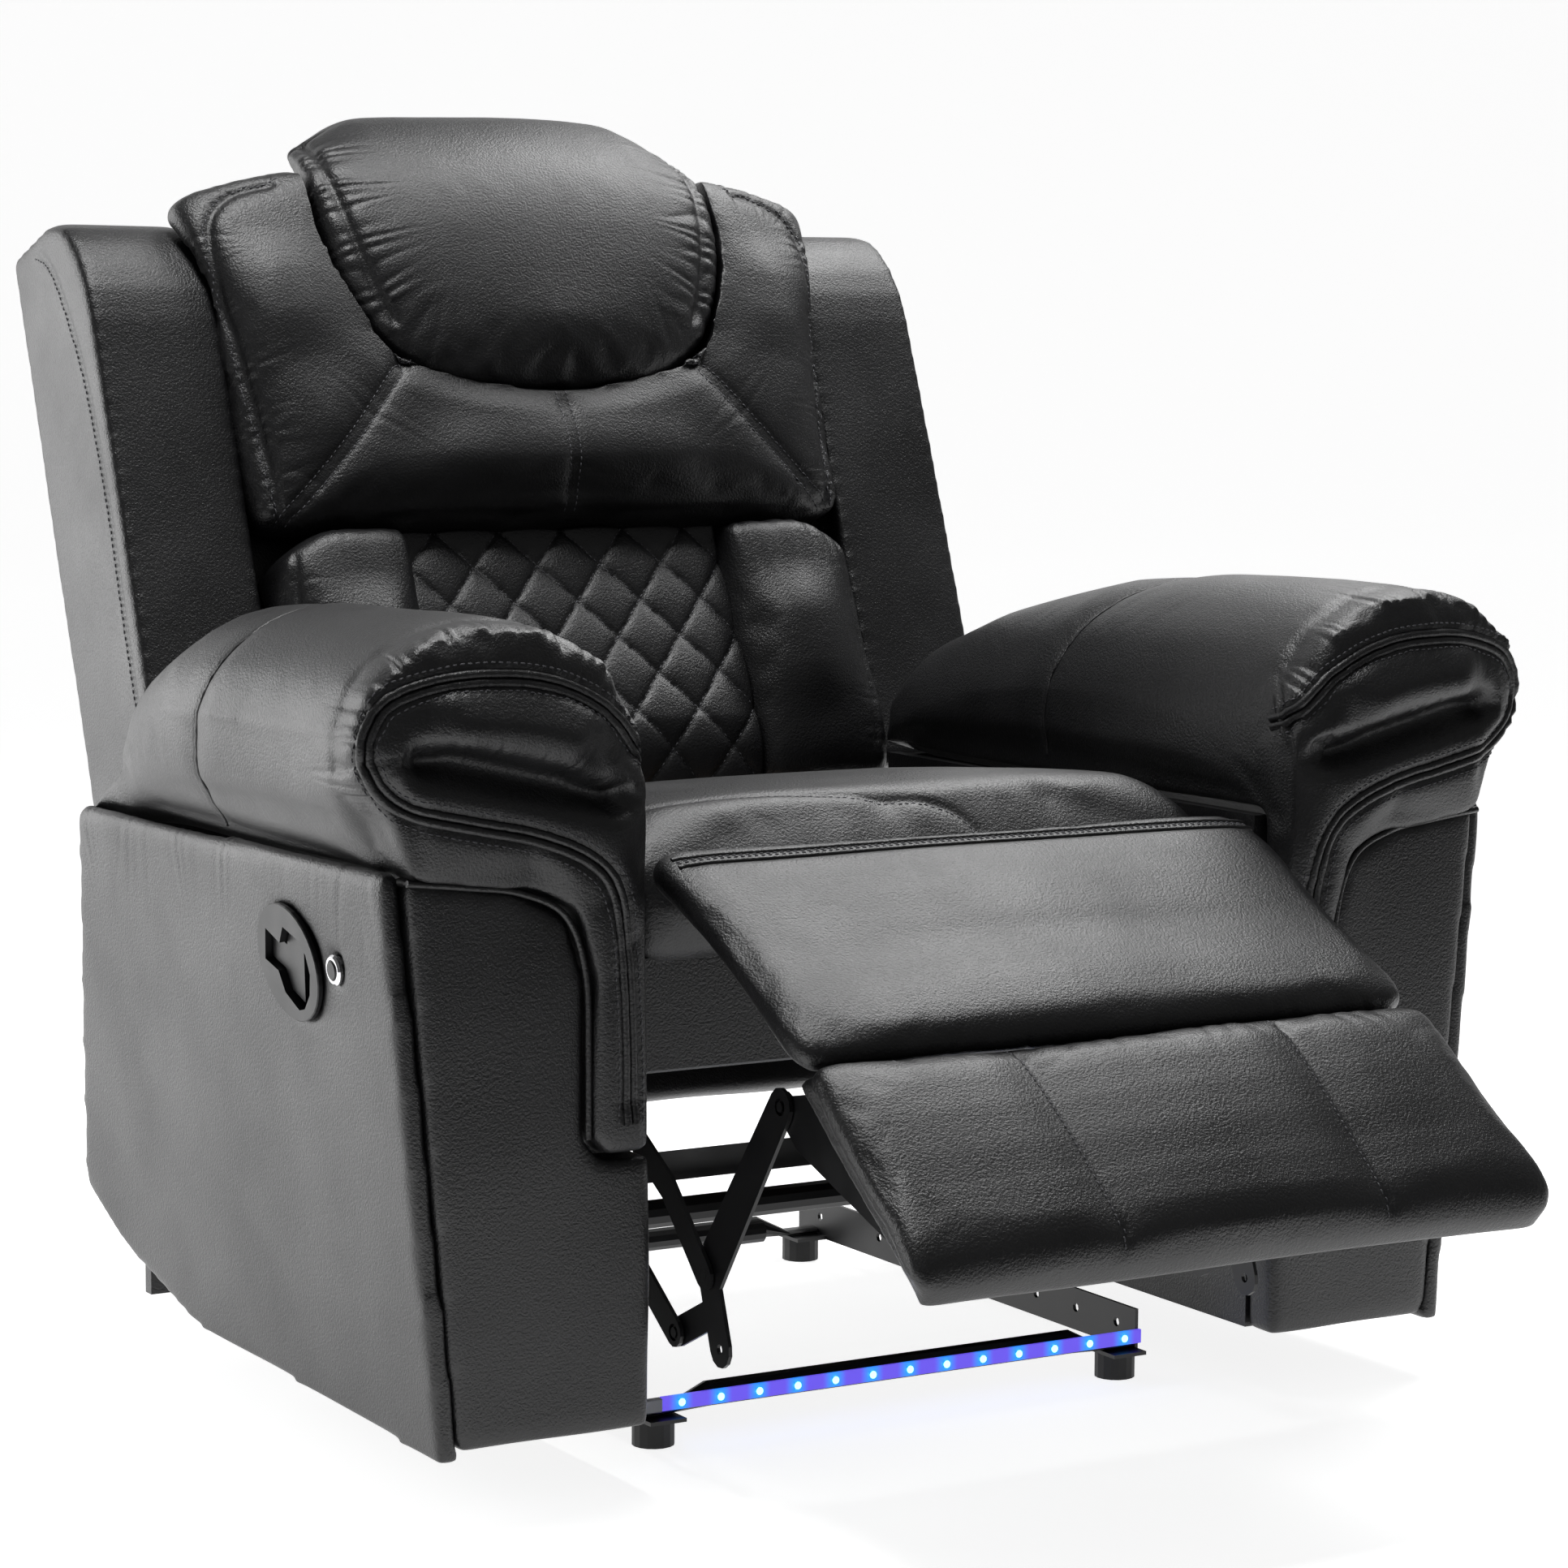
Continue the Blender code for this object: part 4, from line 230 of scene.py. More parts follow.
def sawn_pine():
    """Pine rails: rings drawn out along the board."""
    material, tree, shader, place = new_material("sawn_pine")
    drawn = node(tree, "Mapping", {"Vector": place, "Scale": (8.0, 120.0, 120.0)})
    rings = node(tree, "TexNoise", {"Vector": drawn.outputs["Vector"], "Scale": 1.0, "Detail": 4.0})
    wood = node(tree, "Mix", {"Factor": rings.outputs["Fac"], "A": linear("#8a6440"),
                              "B": linear("#c29a68")}, data_type="RGBA")
    tree.links.new(wood.outputs["Result"], shader.inputs["Base Color"])
    shader.inputs["Roughness"].default_value = 0.7
    return material


LIGHT_COUNT = 13


def glowing(name, between, beside, strength):
    """Clear resin lit from inside: one colour beside each small light, another between them."""
    material, tree, shader, place = new_material(name)
    strip = points(frame["nodes"]["led_strip"])[:, 0]
    start, pitch = float(strip.min()), float(strip.max() - strip.min()) / LIGHT_COUNT
    across = node(tree, "SeparateXYZ", {"Vector": place}).outputs["X"]
    count = node(tree, "Math", {0: across, 1: 1 / pitch, 2: -start / pitch}, operation="MULTIPLY_ADD")
    cell = node(tree, "Math", {0: count.outputs[0]}, operation="FRACT")
    away = node(tree, "Math", {0: cell.outputs[0], 1: 0.5}, operation="SUBTRACT")
    gap = node(tree, "Math", {0: away.outputs[0]}, operation="ABSOLUTE")
    halo = node(tree, "MapRange", {"Value": gap.outputs[0], "From Min": 0.06, "From Max": 0.34,
                                   "To Min": 1.0, "To Max": 0.0}, interpolation_type="SMOOTHSTEP")
    light = node(tree, "Mix", {"Factor": halo.outputs["Result"], "A": linear(between),
                               "B": linear(beside)}, data_type="RGBA")
    tree.links.new(light.outputs["Result"], shader.inputs["Emission Color"])
    tree.links.new(light.outputs["Result"], shader.inputs["Base Color"])
    shader.inputs["Roughness"].default_value = 0.3
    shader.inputs["Emission Strength"].default_value = strength
    return material


FINISH["timber"] = sawn_pine()
FINISH["light"] = glowing("resin_strip_lit_blue", "#6450e0", "#2f8cff", 1.0)
LENS = glowing("lens_lit_white_blue", "#8fe6ff", "#8fe6ff", 3.0)
SLOT_OF = {part["node"]: part["material_slot"] for part in frame["record"]["subparts"]}
for name, solid in frame["nodes"].items():
    solid.data.materials.clear()
    solid.data.materials.append(FINISH[SLOT_OF[name]])
print("every solid has a finish")

# %% [markdown]
# Covers are made alike. The solid is copied and remeshed into one even skin, smoothed
# so that its corners go round, and blown up with Blender's Cloth, whose pressure makes
# it swell between its edges as a stuffed cover does. Numpy reads and writes the points
# of a mesh all at once, which keeps each of these steps quick.

# %% Making a stuffed cover from a solid
def normals(piece):
    """The piece's outward directions, point by point."""
    flat = np.empty(len(piece.data.vertices) * 3, dtype=np.float32)
    piece.data.vertex_normals.foreach_get("vector", flat)
    return flat.reshape(-1, 3).astype(float)


def put(piece, places):
    """Give the piece's points new places."""
    piece.data.vertices.foreach_set("co", places.astype(np.float32).ravel())
    piece.data.update()


def placed(name, bm):
    """A piece in the scene, made of the points and faces in bm."""
    mesh = bpy.data.meshes.new(name)
    bm.to_mesh(mesh)
    bm.free()
    piece = bpy.data.objects.new(name, mesh)
    bpy.context.scene.collection.objects.link(piece)
    return piece


def shown_mesh(thing):
    """The mesh that a thing's modifiers or its bevel show."""
    graph = bpy.context.evaluated_depsgraph_get()
    return bpy.data.meshes.new_from_object(thing.evaluated_get(graph), depsgraph=graph)


def applied(piece):
    """Turn what the modifiers show into the piece's own mesh."""
    mesh = shown_mesh(piece)
    piece.modifiers.clear()
    piece.data = mesh


def extent(piece, frame_of):
    """The lowest and highest x, y and z of a piece, counted in a part's own frame."""
    turn = np.array(frame_of.inverted().to_3x3())
    spots = points(piece) @ turn.T
    return spots.min(axis=0), spots.max(axis=0)


def fitted(piece, low, high, frame_of):
    """Stretch the cover back to the size that rounding took from it."""
    turn = np.array(frame_of.inverted().to_3x3())
    spots = points(piece) @ turn.T
    small, large = spots.min(axis=0), spots.max(axis=0)
    spots = low + (spots - small) * (high - low) / (large - small)
    put(piece, spots @ turn)


def cover(name, nodes, voxel, smoothing, frame_of=CHAIR, grow=(0, 0, 0)):
    """One even skin over one or more solids, its corners rounded, a little wider by grow."""
    bm = bmesh.new()
    for source in nodes:
        bm.from_mesh(frame["nodes"][source].data)
    piece = placed(name, bm)
    low, high = extent(piece, frame_of)
    skin = piece.modifiers.new("even_skin", "REMESH")
    skin.mode = "VOXEL"
    skin.voxel_size = voxel
    soft = piece.modifiers.new("rounded", "SMOOTH")
    soft.iterations = smoothing
    applied(piece)
    fitted(piece, low - np.array(grow), high + np.array(grow), frame_of)
    return piece


def stuff(piece, pressure, cap, start):
    """Swell the cover from a little inside its solid; no point moves further than cap."""
    home = points(piece)
    put(piece, home - normals(piece) * start)
    cloth = piece.modifiers.new("stuffing", "CLOTH")
    cloth.settings.use_pressure = True
    cloth.settings.uniform_pressure_force = pressure
    cloth.settings.effector_weights.gravity = 0.0
    cloth.settings.quality = 2
    cloth.settings.bending_stiffness = 2.0
    scene = bpy.context.scene
    for step in range(1, 21):
        scene.frame_set(step)
    applied(piece)
    scene.frame_set(1)
    moved = points(piece) - home
    far = np.linalg.norm(moved, axis=1, keepdims=True)
    put(piece, home + moved * np.minimum(1.0, cap / np.maximum(far, 1e-9)))
    print(piece.name, "moved", round(float(far.mean()) / MM, 1), "mm on average")
    return piece


def refine(piece):
    """Ease the crumpled places, then halve the mesh's step once, for seams and gathers."""
    eased = piece.modifiers.new("eased", "SMOOTH")
    eased.iterations = 4
    finer = piece.modifiers.new("finer", "SUBSURF")
    finer.levels = 1
    finer.render_levels = 1
    applied(piece)
    return piece


def calm(piece, chosen, rounds):
    """Ease only the chosen points, where the cloth has crumpled."""
    group = piece.vertex_groups.new(name="calmed")
    group.add([int(k) for k in np.nonzero(chosen)[0]], 1.0, "REPLACE")
    soft = piece.modifiers.new("calmed", "SMOOTH")
    soft.vertex_group = group.name
    soft.iterations = rounds
    applied(piece)


# %% [markdown]
# A seam is a path laid on the cover. Points near it sink, so that the cover swells on
# both sides; gathers run away from it as short folds with rounded backs; and rows of
# thread follow it. Each path is given in a few places and made smooth.

# %% Paths on a cover
def smooth_path(places, step=5 * MM):
    """Evenly spaced places along a smooth curve through the given ones."""
    knots = [Vector(place) for place in places]
    route = [knots[0]]
    for k in range(len(knots) - 1):
        start, end = knots[k], knots[k + 1]
        before = knots[max(k - 1, 0)]
        after = knots[min(k + 2, len(knots) - 1)]
        for part in range(1, 13):
            t = part / 12
            lead = (end - before) * (t - 2 * t ** 2 + t ** 3) / 2
            trail = (after - start) * (t ** 3 - t ** 2) / 2
            route.append(start * (1 - 3 * t ** 2 + 2 * t ** 3) + end * (3 * t ** 2 - 2 * t ** 3)
                         + lead + trail)
    line = np.array(route)
    along = np.concatenate([[0], np.cumsum(np.linalg.norm(np.diff(line, axis=0), axis=1))])
    wanted = np.linspace(0, along[-1], max(3, round(along[-1] / step) + 1))
    return np.column_stack([np.interp(wanted, along, line[:, axis]) for axis in range(3)])


def skin_tree(piece):
    """A search tree over the piece's faces."""
    bm = bmesh.new()
    bm.from_mesh(piece.data)
    tree = BVHTree.FromBMesh(bm)
    bm.free()
    return tree


REACH_IN = 0.4


def laid(piece, places, aim=None):
    """The places dropped on the piece: along aim from outside, or to the nearest skin."""
    tree = skin_tree(piece)
    found = []
    for place in smooth_path(places):
        spot = Vector(place)
        if aim is None:
            hit = tree.find_nearest(spot)[0]
        else:
            hit = tree.ray_cast(spot - aim * REACH_IN, aim)[0]
        if hit:
            found.append(hit)
    return np.array(found)


def nearest(spots, path):
    """How far each spot lies from the path, and how far along the path it is met."""
    best = np.full(len(spots), 1.0)
    along = np.zeros(len(spots))
    done = 0.0
    for start, end in zip(path[:-1], path[1:]):
        leg = end - start
        length = np.linalg.norm(leg)
        if length < 1e-7:
            continue
        share = np.clip((spots - start) @ leg / length ** 2, 0, 1)
        away = np.linalg.norm(spots - start - share[:, None] * leg, axis=1)
        closer = away < best
        best[closer] = away[closer]
        along[closer] = done + share[closer] * length
        done += length
    return best, along


def near(piece, path, reach):
    """The points that may feel the path, so that the rest needs no work."""
    spots = points(piece)
    low = path.min(axis=0) - reach
    high = path.max(axis=0) + reach
    return np.nonzero(((spots > low) & (spots < high)).all(axis=1))[0], spots


# %% Sinking seams and raising gathers
SEAM_FADE = 16 * MM


def ramp(values, start, end):
    """A smooth rise from 0 at start to 1 at end."""
    share = np.clip((values - start) / (end - start), 0, 1)
    return share * share * (3 - 2 * share)


def sew(piece, path, depth, width):
    """Pull the cover in along a seam."""
    chosen, spots = near(piece, path, 4 * width)
    away, along = nearest(spots[chosen], path)
    total = np.linalg.norm(np.diff(path, axis=0), axis=1).sum()
    fade = ramp(np.minimum(along, total - along), 0, max(SEAM_FADE, 1.6 * width))
    pull = depth * fade * np.exp(-(away / width) ** 2)
    spots[chosen] -= normals(piece)[chosen] * pull[:, None]
    put(piece, spots)


def gather(piece, path, reach, pitch, depth, seed, even=0.0, ahead=1.0):
    """Short folds that run away from a seam, each its own way.

    even, from 0 to 1, evens them out; ahead is how much of them shows where the cover faces front.
    """
    draw = np.random.default_rng(seed)
    chosen, spots = near(piece, path, 2.5 * reach)
    away, along = nearest(spots[chosen], path)
    count = int(along.max() / pitch) + 4
    stations = np.arange(count)
    slant = (1 - even) * np.interp(along / pitch, stations, draw.uniform(-0.8, 0.8, count))
    phase = along / pitch + 0.45 * (1 - even) * np.sin(along / pitch * 1.7) + slant * away / reach
    tall = np.interp(phase, stations, draw.uniform(max(even, 0.1), 1.0, count) ** 1.3)
    long = reach * np.interp(phase, stations, draw.uniform(0.4, 1.4, count))
    ridge = np.abs(np.sin(pi * phase)) ** 0.7 - 0.6
    fade = np.exp(-(away / long) ** 2) * (1 - 0.5 * np.exp(-(away / (3 * MM)) ** 2))
    out = normals(piece)[chosen]
    fade *= ahead + (1 - ahead) * ramp(out[:, 1], -0.92, -0.62)
    spots[chosen] += out * (depth * tall * ridge * fade)[:, None]
    put(piece, spots)


def swell(piece, path, height, width):
    """Raise the cover in a rounded bank along a path."""
    sew(piece, path, -height, width)


def undulate(piece, size, depth, seed):
    """Broad, shallow waves, as a hand leaves in a stuffed cover."""
    draw = np.random.default_rng(seed)
    spots = points(piece)
    total = np.zeros(len(spots))
    for wave in range(9):
        heading = draw.normal(size=3)
        heading *= 2 * pi / size * draw.uniform(0.6, 1.5) / np.linalg.norm(heading)
        total += np.sin(spots @ heading + draw.uniform(0, 2 * pi))
    put(piece, spots + normals(piece) * (depth * total / 3)[:, None])


def in_part(piece, frame_of):
    """The piece's points counted in a part's own frame."""
    turn = np.array(frame_of.inverted())
    return points(piece) @ turn[:3, :3].T + turn[:3, 3]


def shift(piece, frame_of, along, amount):
    """Move each point by its own amount along a direction of a part's frame."""
    way = np.array(turned(frame_of, along))
    put(piece, points(piece) + np.outer(amount, way))


# %% [markdown]
# Thread shows as a row of short bars, each dipping into the leather at both ends. All
# the bars of one body go into one mesh, because they move together.

# %% Rows of stitches
STITCH = 4.2 * MM
STITCH_GAP = 1.6 * MM
THREAD_RADIUS = 0.6 * MM
THREAD_LIFT = 0.15 * MM
STITCH_ENDS = ((-0.5, 0.5, 1.0), (-0.25, 1.0, 0.0), (0.25, 1.0, 0.0), (0.5, 0.5, 1.0))
stitches = {}


def stitch_row(piece, body, path, offset=0.0):
    """Note the places of a row of stitches beside a seam."""
    tree = skin_tree(piece)
    line = smooth_path(path, STITCH + STITCH_GAP) if len(path) > 3 else path
    for k in range(len(line) - 1):
        start, end = Vector(line[k]), Vector(line[k + 1])
        along = (end - start).normalized()
        middle = (start + end) / 2
        spot, up, index, gap = tree.find_nearest(middle)
        if spot is None or gap > 20 * MM:
            continue
        side = along.cross(up).normalized()
        if offset:
            spot, up, index, gap = tree.find_nearest(spot + side * offset)
        up = up.normalized()
        along = (along - up * along.dot(up)).normalized()
        stitches.setdefault(body, []).append((spot + up * THREAD_LIFT, along, up))


def make_stitches():
    """Build the noted stitches, one mesh for each body."""
    ring = [(cos(pi / 3 * k), sin(pi / 3 * k)) for k in range(6)]
    for body, bars in stitches.items():
        bm = bmesh.new()
        for middle, along, up in bars:
            side = along.cross(up)
            rows = []
            for share, thick, drop in STITCH_ENDS:
                centre = middle + along * (STITCH * share) - up * (THREAD_RADIUS * drop)
                rows.append([bm.verts.new(centre + (side * a + up * b) * (THREAD_RADIUS * thick))
                             for a, b in ring])
            for lower, upper in zip(rows, rows[1:]):
                for k in range(6):
                    bm.faces.new((lower[k], lower[k - 1], upper[k - 1], upper[k]))
            bm.faces.new(rows[0])
            bm.faces.new(rows[-1][::-1])
        bmesh.ops.recalc_face_normals(bm, faces=bm.faces[:])
        finished(placed("thread_on_" + body, bm), body, THREAD)
        print("thread on", body, len(bars), "stitches")


# %% [markdown]
# Piping is a cord in a strip of leather, sewn into a seam. It is a curve with a round
# section, turned into a mesh. The last helper gives a piece its finish and its body.

# %% Piping, and handing a piece to its body
def piping(name, path, radius, body, sink=0.3):
    """A round leather cord along a path."""
    curve = bpy.data.curves.new(name, "CURVE")
    curve.dimensions = "3D"
    curve.bevel_depth = radius
    curve.bevel_resolution = 3
    curve.use_fill_caps = True
    spline = curve.splines.new("POLY")
    spline.points.add(len(path) - 1)
    for point, place in zip(spline.points, path):
        point.co = (*place, 1.0)
    cord = bpy.data.objects.new(name, curve)
    bpy.context.scene.collection.objects.link(cord)
    mesh = shown_mesh(cord)
    bpy.data.objects.remove(cord)
    piece = bpy.data.objects.new(name, mesh)
    bpy.context.scene.collection.objects.link(piece)
    return finished(piece, body, LEATHER_COVER)


def finished(piece, body, material):
    """Smooth shading, a finish and a body to ride on."""
    piece.data.materials.clear()
    piece.data.materials.append(material)
    piece.data.shade_smooth()
    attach(piece, body)
    return piece


def upholstered(piece, body, nodes):
    """A leather cover that stands for its solids."""
    finished(piece, body, LEATHER_COVER)
    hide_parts(*nodes)
    print(piece.name, len(piece.data.polygons), "faces")
    return piece


def offset_path(path, piece, distance):
    """The path moved sideways over the piece's skin."""
    tree = skin_tree(piece)
    moved = []
    for k in range(len(path)):
        along = Vector(path[min(k + 1, len(path) - 1)]) - Vector(path[max(k - 1, 0)])
        spot, up, index, gap = tree.find_nearest(Vector(path[k]))
        moved.append(tree.find_nearest(spot + along.cross(up).normalized() * distance)[0])
    return np.array(moved)


def in_frame(frame_of, places):
    """Places of a part's own frame as places in the scene."""
    return [tuple(frame_of @ Vector(place)) for place in places]


def turned(frame_of, direction):
    """A direction of a part's own frame."""
    return (frame_of.to_3x3() @ Vector(direction)).normalized()


def mirrored(places):
    """The same places on the other side of the chair, in the same order."""
    return [(-place[0], *place[1:]) for place in places]


# %% [markdown]
# The head pillow is the fullest cushion. Its face is sewn to a side strip along a
# U-shaped seam, and the leather is gathered there, most where the curve is tight.

# %% Head pillow
INTO_BACK = turned(BACK, (0, 1, 0))
PILLOW_EDGE = [(-0.172, 0.772), (-0.182, 0.716), (-0.179, 0.671), (-0.171, 0.628), (-0.160, 0.588),
               (-0.144, 0.556)]
PILLOW_LOW = [(-0.158, 0.585), (-0.140, 0.553), (-0.105, 0.535)]
CROWN_FALL = 17 * MM


def back_places(pairs):
    """Places on the back's front, given as (x, up)."""
    return in_frame(BACK, [(x, 0, up) for x, up in pairs])


def on_back(piece, pairs):
    """A path laid on the piece from the back's front."""
    return laid(piece, back_places(pairs), INTO_BACK)


def head_pillow():
    """The pillow cover with the gathered seams of its two side strips."""
    piece = cover("head_pillow_cover", ["head_pillow"], 4.5 * MM, 11, BACK, (6 * MM, 2 * MM, 0))
    refine(stuff(piece, 4, 9 * MM, 3 * MM))
    undulate(piece, 150 * MM, 0.8 * MM, 3)
    spots = in_part(piece, BACK)
    aside = np.abs(spots[:, 0])
    corners = np.exp(-((aside - 0.095) / 0.045) ** 2) * ramp(spots[:, 2], 0.57, 0.515)
    crown = ramp(aside, 0.12, 0.20) * ramp(spots[:, 2], 0.69, 0.79)
    shift(piece, BACK, (0, 0, -1), 9 * MM * corners + CROWN_FALL * crown)
    shift(piece, BACK, (1, 0, 0), -np.sign(spots[:, 0]) * crown * 0.6 * CROWN_FALL)
    for number, (edge, low) in enumerate(((PILLOW_EDGE, PILLOW_LOW),
                                          (mirrored(PILLOW_EDGE), mirrored(PILLOW_LOW)))):
        path = on_back(piece, edge)
        corner = on_back(piece, low)
        gather(piece, path, 34 * MM, 14 * MM, 3.4 * MM, 5 + number, 0.3)
        gather(piece, corner, 42 * MM, 20 * MM, 1.8 * MM, 8 + number, 0.4)
        sew(piece, path, 3 * MM, 7 * MM)
        sew(piece, path, 2.5 * MM, 3 * MM)
    return upholstered(piece, "back", ["head_pillow"])


head_pillow()

# %% [markdown]
# The shoulder cushion carries the yoke: two slanting double seams that run from the
# pillow's lower corners to the cushion's own, and a short upright one between them. Its
# outer edges are gathered into a seam a little way in from the side.

# %% Shoulder cushion
YOKE = [(-0.142, 0.533), (-0.169, 0.501), (-0.202, 0.462), (-0.241, 0.422), (-0.270, 0.393)]
YOKE_MIDDLE = [(0, 0.500), (0.002, 0.465), (0.002, 0.43), (0, 0.394)]
SHOULDER_EDGE = [(-0.222, 0.702), (-0.268, 0.692), (-0.294, 0.664), (-0.297, 0.611), (-0.290, 0.558),
                 (-0.282, 0.492), (-0.276, 0.427), (-0.272, 0.396)]
SHOULDER_ROLLS = [[(-0.15, 0.440), (0.0, 0.452), (0.15, 0.440)],
                  [(-0.232, 0.53), (-0.248, 0.60), (-0.246, 0.66)],
                  [(0.232, 0.53), (0.248, 0.60), (0.246, 0.66)]]
DOUBLE_ROW = 5 * MM


def double_seam(piece, body, path, depth):
    """A seam with a row of stitches on each side, in a shallow valley of its own."""
    sew(piece, path, depth * 0.6, 17 * MM)
    sew(piece, path, depth * 0.4, 8 * MM)
    sew(piece, path, 1.6 * MM, 1.8 * MM)
    for side in (-1, 1):
        row = offset_path(path, piece, side * DOUBLE_ROW)
        sew(piece, row, 0.9 * MM, 2 * MM)
        stitch_row(piece, body, row)


def shoulder_cushion():
    """The shoulder cover with its yoke seams and gathered edges."""
    piece = cover("shoulder_cover", ["shoulder_cushion"], 5 * MM, 6, BACK, (6 * MM, 0, 0))
    refine(stuff(piece, 4, 7 * MM, 3 * MM))
    undulate(piece, 140 * MM, 1.0 * MM, 11)
    for roll in SHOULDER_ROLLS:
        swell(piece, on_back(piece, roll), 5 * MM, 32 * MM)
    for number, edge in enumerate((SHOULDER_EDGE, mirrored(SHOULDER_EDGE))):
        path = on_back(piece, edge)
        gather(piece, path, 30 * MM, 15 * MM, 2.6 * MM, 21 + number)
        sew(piece, path, 2.5 * MM, 9 * MM)
        sew(piece, path, 3 * MM, 3.5 * MM)
        stitch_row(piece, "back", path, (5 - 10 * number) * MM)
    for seam in (YOKE, mirrored(YOKE), YOKE_MIDDLE):
        path = on_back(piece, seam)
        double_seam(piece, "back", path, 4.5 * MM)
        gather(piece, path, 40 * MM, 30 * MM, 1.2 * MM, 27)
    return upholstered(piece, "back", ["shoulder_cushion"])


shoulder_cushion()

# %% [markdown]
# The lumbar panel is quilted: two families of slanting seams cross and leave diamonds
# that swell between them. It is a fine grid whose depth follows a product of two sines,
# zero on every seam, and the stitches follow the same lines.

# %% Quilted lumbar panel
QUILT_LOW = 0.140
QUILT_HIGH = 0.3858
QUILT_HALF = 0.155
DIAMONDS_ACROSS = 5
DIAMONDS_HIGH = 3.5
QUILT_PUFF = 7.5 * MM
QUILT_STEP = 2.2 * MM
PANEL_REAR = 0.0337


def lumbar_face(up):
    """How far the lumbar panel stands out in front of the pivot plane at a height."""
    v = 2 * (up - QUILT_LOW) / (QUILT_HIGH - QUILT_LOW) - 1
    if v < -0.5:
        return 0.048 * (1 - ((-0.5 - v) * 1.2) ** 2)
    return 0.048 + (0.018 - 0.048) * (v + 0.5) / 1.5


def quilt_place(x, up):
    """A point of the quilted face, in the back's frame."""
    a = (x / QUILT_HALF + 1) / 2 * DIAMONDS_ACROSS
    b = (up - QUILT_LOW) / (QUILT_HIGH - QUILT_LOW) * DIAMONDS_HIGH
    dome = abs(sin(pi * (a + b)) * sin(pi * (a - b))) ** 0.24
    side = 1 - 0.2 * abs(x / QUILT_HALF) ** 6
    return Vector((x, -lumbar_face(up) * side + QUILT_PUFF * (1 - dome), up))


def quilt():
    """The quilted panel and its thread."""
    columns = round(2 * QUILT_HALF / QUILT_STEP)
    rows = round((QUILT_HIGH - QUILT_LOW) / QUILT_STEP)
    bm = bmesh.new()
    bmesh.ops.create_grid(bm, x_segments=columns, y_segments=rows, size=0.5)
    edge = [e for e in bm.edges if e.is_boundary]
    drawn = bmesh.ops.extrude_edge_only(bm, edges=edge)["geom"]
    rim = {v for v in drawn if isinstance(v, bmesh.types.BMVert)}
    for vert in bm.verts:
        x = vert.co.x * 2 * QUILT_HALF
        up = QUILT_LOW + (vert.co.y + 0.5) * (QUILT_HIGH - QUILT_LOW)
        place = Vector((x, PANEL_REAR, up)) if vert in rim else quilt_place(x, up)
        vert.co = BACK @ place
    bmesh.ops.contextual_create(bm, geom=[e for e in bm.edges if e.is_boundary])
    bmesh.ops.recalc_face_normals(bm, faces=bm.faces[:])
    piece = placed("quilted_panel", bm)
    height = QUILT_HIGH - QUILT_LOW
    for lean in (-1, 1):
        for k in range(-4, 10):
            line = []
            for part in range(41):
                share = part / 40
                x = (k - lean * share * DIAMONDS_HIGH) / DIAMONDS_ACROSS * 2 * QUILT_HALF - QUILT_HALF
                if abs(x) < QUILT_HALF - 2 * MM:
                    line.append(BACK @ quilt_place(x, QUILT_LOW + share * height))
            if len(line) > 4:
                stitch_row(piece, "back", np.array(line))
    return upholstered(piece, "back", ["lumbar_quilt"])


quilt()

# %% [markdown]
# Plain bolsters stand on both sides of the quilt, and slab wings outside them. A bolster
# puckers at its top, where it is tucked under the shoulder cushion; a wing is tight, with
# a single stitched seam where its front strip meets the outer side.

# %% Bolsters and wings
BOLSTER_TOP = [(0.162, 0.374), (0.20, 0.380), (0.24, 0.380), (0.275, 0.372)]
BOLSTER_SPINE = [(0.212, 0.345), (0.212, 0.27), (0.214, 0.19)]
BOLSTER_SIDE = [(0.266, 0.376), (0.272, 0.335), (0.272, 0.28), (0.272, 0.20), (0.270, 0.16)]
WING_SEAM = [(0.088, 0.676), (0.060, 0.654), (0.036, 0.600), (0.019, 0.530), (0.011, 0.430),
             (0.011, 0.320), (0.011, 0.195)]


def bolster(side, sign):
    """One bolster cover."""
    name = "lumbar_bolster_" + side
    piece = cover(name + "_cover", [name], 5 * MM, 10, BACK, (3 * MM, 0, 3 * MM))
    refine(stuff(piece, 4, 9 * MM, 2 * MM))
    undulate(piece, 150 * MM, 0.9 * MM, 31 + sign)
    spots = in_part(piece, BACK)
    corner = ramp(np.abs(spots[:, 0]), 0.215, 0.287) * ramp(spots[:, 2], 0.29, 0.39)
    shift(piece, BACK, (0, 0, -1), 24 * MM * corner ** 1.5)
    foot = ramp(np.abs(spots[:, 0]), 0.24, 0.28) * ramp(spots[:, 2], 0.27, 0.18)
    shift(piece, BACK, (sign, 0, 0), 7 * MM * foot)
    spine, top, side_seam = (BOLSTER_SPINE, BOLSTER_TOP, BOLSTER_SIDE)
    if sign < 0:
        spine, top, side_seam = mirrored(spine), mirrored(top), mirrored(side_seam)
    swell(piece, on_back(piece, spine), 9 * MM, 36 * MM)
    top = on_back(piece, top)
    gather(piece, top, 44 * MM, 19 * MM, 2.2 * MM, 41 + sign, 0.3)
    edge = on_back(piece, side_seam)
    sew(piece, edge, 2.5 * MM, 4 * MM)
    gather(piece, edge, 22 * MM, 14 * MM, 1.2 * MM, 45 + sign)
    return upholstered(piece, "back", [name])


